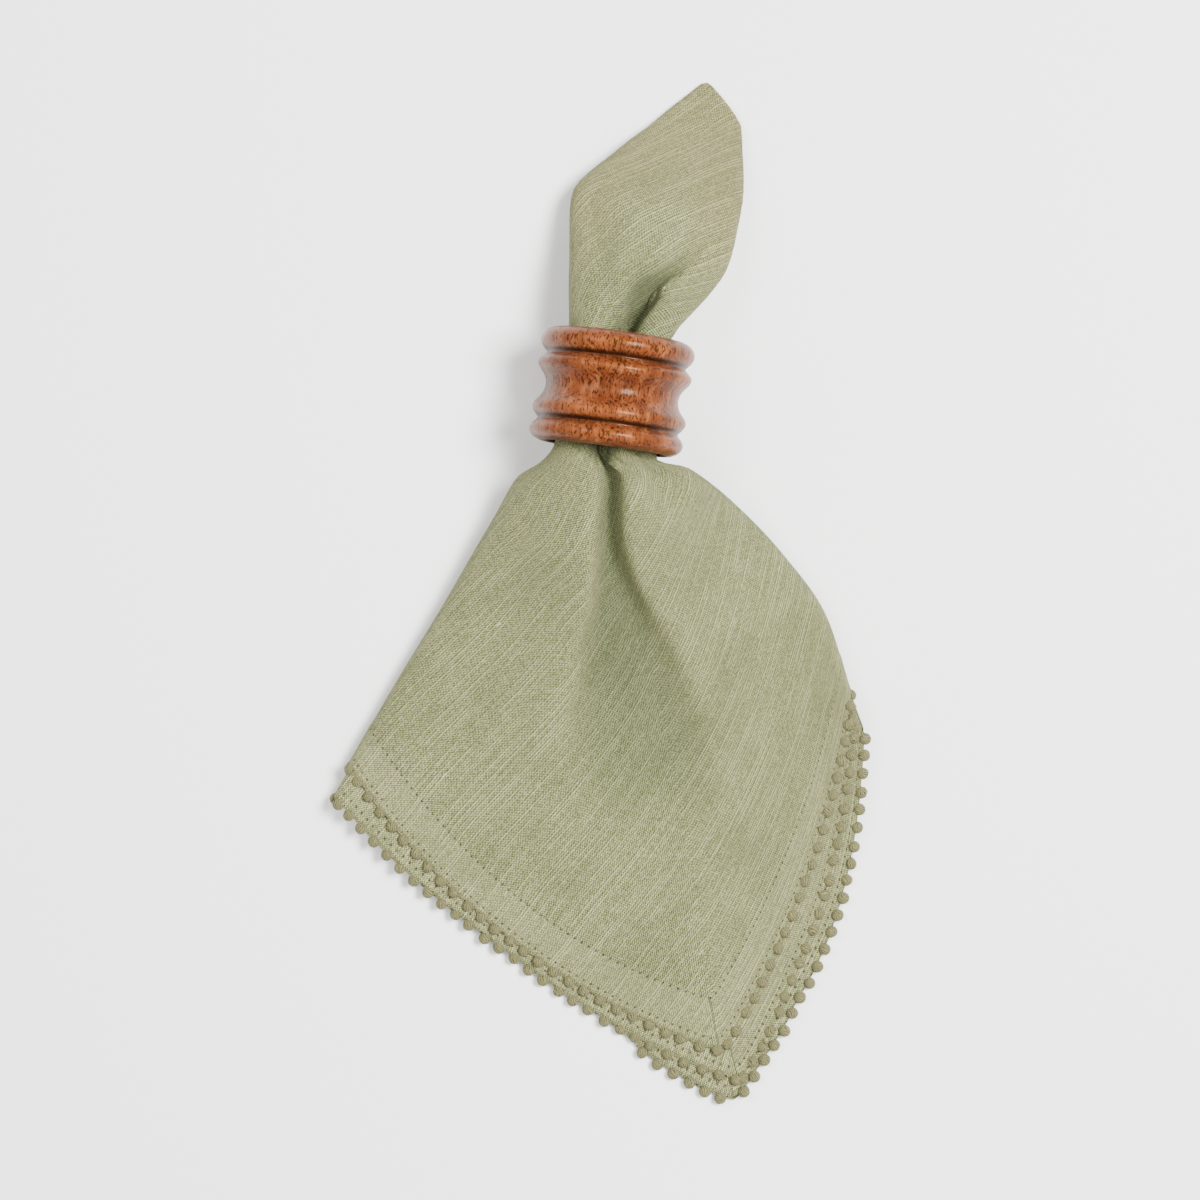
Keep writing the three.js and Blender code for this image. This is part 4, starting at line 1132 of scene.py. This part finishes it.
# %% Which stretch of hem each trim follows, how it is lifted, and where its first ball falls
TRIMS = {
    "balls_top_left": (1, LEFT_ROLL - 2, MIDDLE, -0.4, 0.0),
    "balls_top_right": (1, MIDDLE, ACROSS - LEFT_ROLL + 2, -0.4, 0.35),
    "balls_second_left": (2, LEFT_ROLL - 2, MIDDLE, -0.4, 0.5),
    "balls_second_right": (2, MIDDLE, ACROSS - LEFT_ROLL + 2, -0.4, 0.1),
    "balls_third_left": (3, MIDDLE - 9, MIDDLE, -0.2, 0.3),
    "balls_third_right": (3, MIDDLE, ACROSS - LEFT_ROLL, -0.2, 0.6),
}
STANDS_FOR = {
    "balls_top_left": "trim_top_left",
    "balls_top_right": "trim_top_right",
    "balls_second_left": "trim_second_left",
    "balls_second_right": "trim_second_right",
    "balls_third_left": "trim_third_left",
    "balls_third_right": "trim_third_right",
}


# %% Balls along a hem
def wound_ball(bm, centre, axis, seed):
    spin = Vector(axis).to_track_quat("Z", "Y").to_matrix().to_4x4()
    wobble = Matrix.Diagonal((1 + 0.06 * seed[0], 1 + 0.06 * seed[1], 1 - 0.05 * seed[2], 1))
    matrix = Matrix.Translation(centre) @ spin @ Matrix.Rotation(seed[3] * 6.28, 4, "Z") @ wobble
    bmesh.ops.create_uvsphere(
        bm,
        u_segments=8,
        v_segments=6,
        radius=BALL_RADIUS * MM,
        matrix=matrix,
        calc_uvs=True,
    )


def braid(bm, line):
    """A thin six-sided cord along the edge."""
    loops = []
    for p, out, normal in line:
        middle = p + out * (BRAID_RADIUS * 0.8) - normal * BRAID_DROP
        across = out / np.linalg.norm(out)
        up = normal - across * (normal @ across)
        up = up / np.linalg.norm(up)
        circle = []
        for k in range(BRAID_SIDES):
            w = k * 2 * math.pi / BRAID_SIDES
            spot = middle + (across * math.cos(w) + up * math.sin(w)) * BRAID_RADIUS
            circle.append(bm.verts.new((spot + SHIFT) * MM))
        loops.append(circle)
    for a, b in zip(loops, loops[1:]):
        for k in range(BRAID_SIDES):
            n = (k + 1) % BRAID_SIDES
            bm.faces.new((a[k], b[k], b[n], a[n]))
    bm.faces.new(loops[0])
    bm.faces.new(loops[-1][::-1])


def trim_piece(name, layer, first, last, lift, phase, chance):
    line = hem_line(layer, first, last)
    points = np.array([p for p, out, normal in line])
    sums = np.concatenate([[0], np.cumsum(np.linalg.norm(np.diff(points, axis=0), axis=1))])
    outs = np.array([out for p, out, normal in line])
    normals = np.array([normal for p, out, normal in line])
    bm = bmesh.new()
    bm.loops.layers.uv.new("UVMap")
    heights = []
    for a in np.arange(BALL_PITCH * (0.2 + phase), sums[-1] - 0.5, BALL_PITCH):
        a = a + chance.normal(0, 0.25)
        p, out, normal = (
            np.array([np.interp(a, sums, v[:, k]) for k in range(3)]) for v in (points, outs, normals)
        )
        out = out / np.linalg.norm(out)
        centre = p + out * (BALL_OUT + chance.normal(0, 0.2)) + normal * (lift + chance.normal(0, 0.15))
        axis = out + chance.normal(0, 0.35, 3)
        centre[2] = max(centre[2], BALL_RADIUS + 0.05)
        wound_ball(bm, (centre + SHIFT) * MM, axis, chance.uniform(-1, 1, 4))
        heights.append(centre[2])
    braid(bm, line)
    bmesh.ops.recalc_face_normals(bm, faces=bm.faces)
    for face in bm.faces:
        face.smooth = True
    mesh = bpy.data.meshes.new(name)
    bm.to_mesh(mesh)
    bm.free()
    piece = bpy.data.objects.new(name, mesh)
    bpy.context.scene.collection.objects.link(piece)
    print(name, len(heights), "balls, lowest centre", round(min(heights), 2), "mm")
    return piece


# %% [markdown]
# ## Wound yarn
# Each ball is wound from the same tan yarn. Fine stripes round the ball, bent by a little noise, stand
# for the turns of yarn, and the gaps between them are darker. Real strands on hundreds of balls would be
# far too many faces, and at this size stripes look the same.

# %% The yarn material
YARN_GAP = colour(20, 22, 9, DIM)
YARN_TAN = colour(138, 134, 88, DIM)
YARN_FUZZ = colour(206, 198, 150, DIM)
TURNS_ROUND = 16.0
TURNS_ALONG = 3.0
TURNS_BENT = 3.0


def yarn():
    r = Recipe("yarn_wound")
    uv = r.add("UVMap", uv_map="UVMap")
    parts = r.add("SeparateXYZ", {"Vector": uv.outputs[0]})
    place = r.add("TexCoord").outputs["Object"]
    bend = r.noise(place, scale=420.0)
    slant = r.do("MULTIPLY", parts.outputs[1], TURNS_ALONG)
    turns = r.do("ADD", r.do("MULTIPLY", parts.outputs[0], TURNS_ROUND), slant)
    turns = r.do("ADD", turns, r.do("MULTIPLY", bend, TURNS_BENT))
    strand = r.do("ABSOLUTE", r.do("SINE", r.do("MULTIPLY", turns, math.pi)))
    fuzz = r.noise(place, scale=2600.0)
    body = r.blend(r.band(strand, 0.05, 0.75), YARN_GAP, YARN_TAN)
    body = r.blend(r.do("MULTIPLY", r.band(fuzz, 0.5, 0.75), 0.22), body, YARN_FUZZ)
    return r.finish(
        body,
        strand,
        strength=0.8,
        distance=0.0003,
        Roughness=0.95,
        Sheen_Weight=0.1,
        Sheen_Roughness=0.5,
        Specular_IOR_Level=0.15,
    )


yarn_material = yarn()
chance = np.random.default_rng(7)
for name, (layer, first, last, lift, phase) in TRIMS.items():
    piece = trim_piece(name, layer, first, last, lift, phase, chance)
    piece.data.materials.append(yarn_material)
    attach(piece, "root")
    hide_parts(STANDS_FOR[name])

# %% [markdown]

# %% [markdown]
# ## Floor, light and camera
# The photograph looks straight down on a white ground, in broad soft light that comes from above and a
# little from the right, where each bead of the ring shows its highlight. A broad weak light fills the
# left, and a weaker one the side of the hem, so that the ring's end isn't lost in shade.

# %% The floor
FLOOR_HALF = 3.0
floor_mesh = bpy.data.meshes.new("floor")
floor_bm = bmesh.new()
bmesh.ops.create_grid(floor_bm, x_segments=1, y_segments=1, size=FLOOR_HALF)
floor_bm.to_mesh(floor_mesh)
floor_bm.free()
floor = bpy.data.objects.new("floor", floor_mesh)
bpy.context.scene.collection.objects.link(floor)
floor_recipe = Recipe("floor_pale")
floor_mesh.materials.append(floor_recipe.finish(colour(250, 250, 249), Roughness=0.9))
print("floor", 2 * FLOOR_HALF, "m wide")


# %% Lights
def softbox(name, place, target, size, power):
    light = bpy.data.lights.new(name, "AREA")
    light.shape = "RECTANGLE"
    light.size = size[0]
    light.size_y = size[1]
    light.energy = power
    lamp = bpy.data.objects.new(name, light)
    lamp.location = place
    lamp.rotation_euler = (Vector(target) - Vector(place)).to_track_quat("-Z", "Y").to_euler()
    bpy.context.scene.collection.objects.link(lamp)
    print("light", name, power, "W")


softbox("key", (0.75, 0.25, 1.5), (0, 0, 0), (0.7, 0.5), 90.0)
softbox("fill", (-1.1, 0.6, 1.6), (0, 0, 0), (1.2, 1.2), 36.0)
softbox("front", (0.2, -1.2, 1.3), (0, 0, 0), (1.0, 0.8), 14.0)
world = bpy.data.worlds.new("studio")
world.use_nodes = True
world.node_tree.nodes["Background"].inputs[0].default_value = (1, 1, 1, 1)
world.node_tree.nodes["Background"].inputs[1].default_value = 0.34
bpy.context.scene.world = world

# %% The camera
VIEW_HEIGHT = 1.2
FOCAL_PIXELS = 3389.0
FRAME_PIXELS = 1200.0
SENSOR = 36.0
lens = bpy.data.cameras.new("camera")
lens.sensor_width = SENSOR
lens.lens = SENSOR * FOCAL_PIXELS / FRAME_PIXELS
camera = bpy.data.objects.new("camera", lens)
camera.location = (SHIFT[0] * MM, SHIFT[1] * MM, VIEW_HEIGHT)
camera.rotation_euler = (0, 0, 0)
bpy.context.scene.collection.objects.link(camera)
bpy.context.scene.camera = camera
print("lens", round(lens.lens, 1), "mm, looking down from", VIEW_HEIGHT, "m")
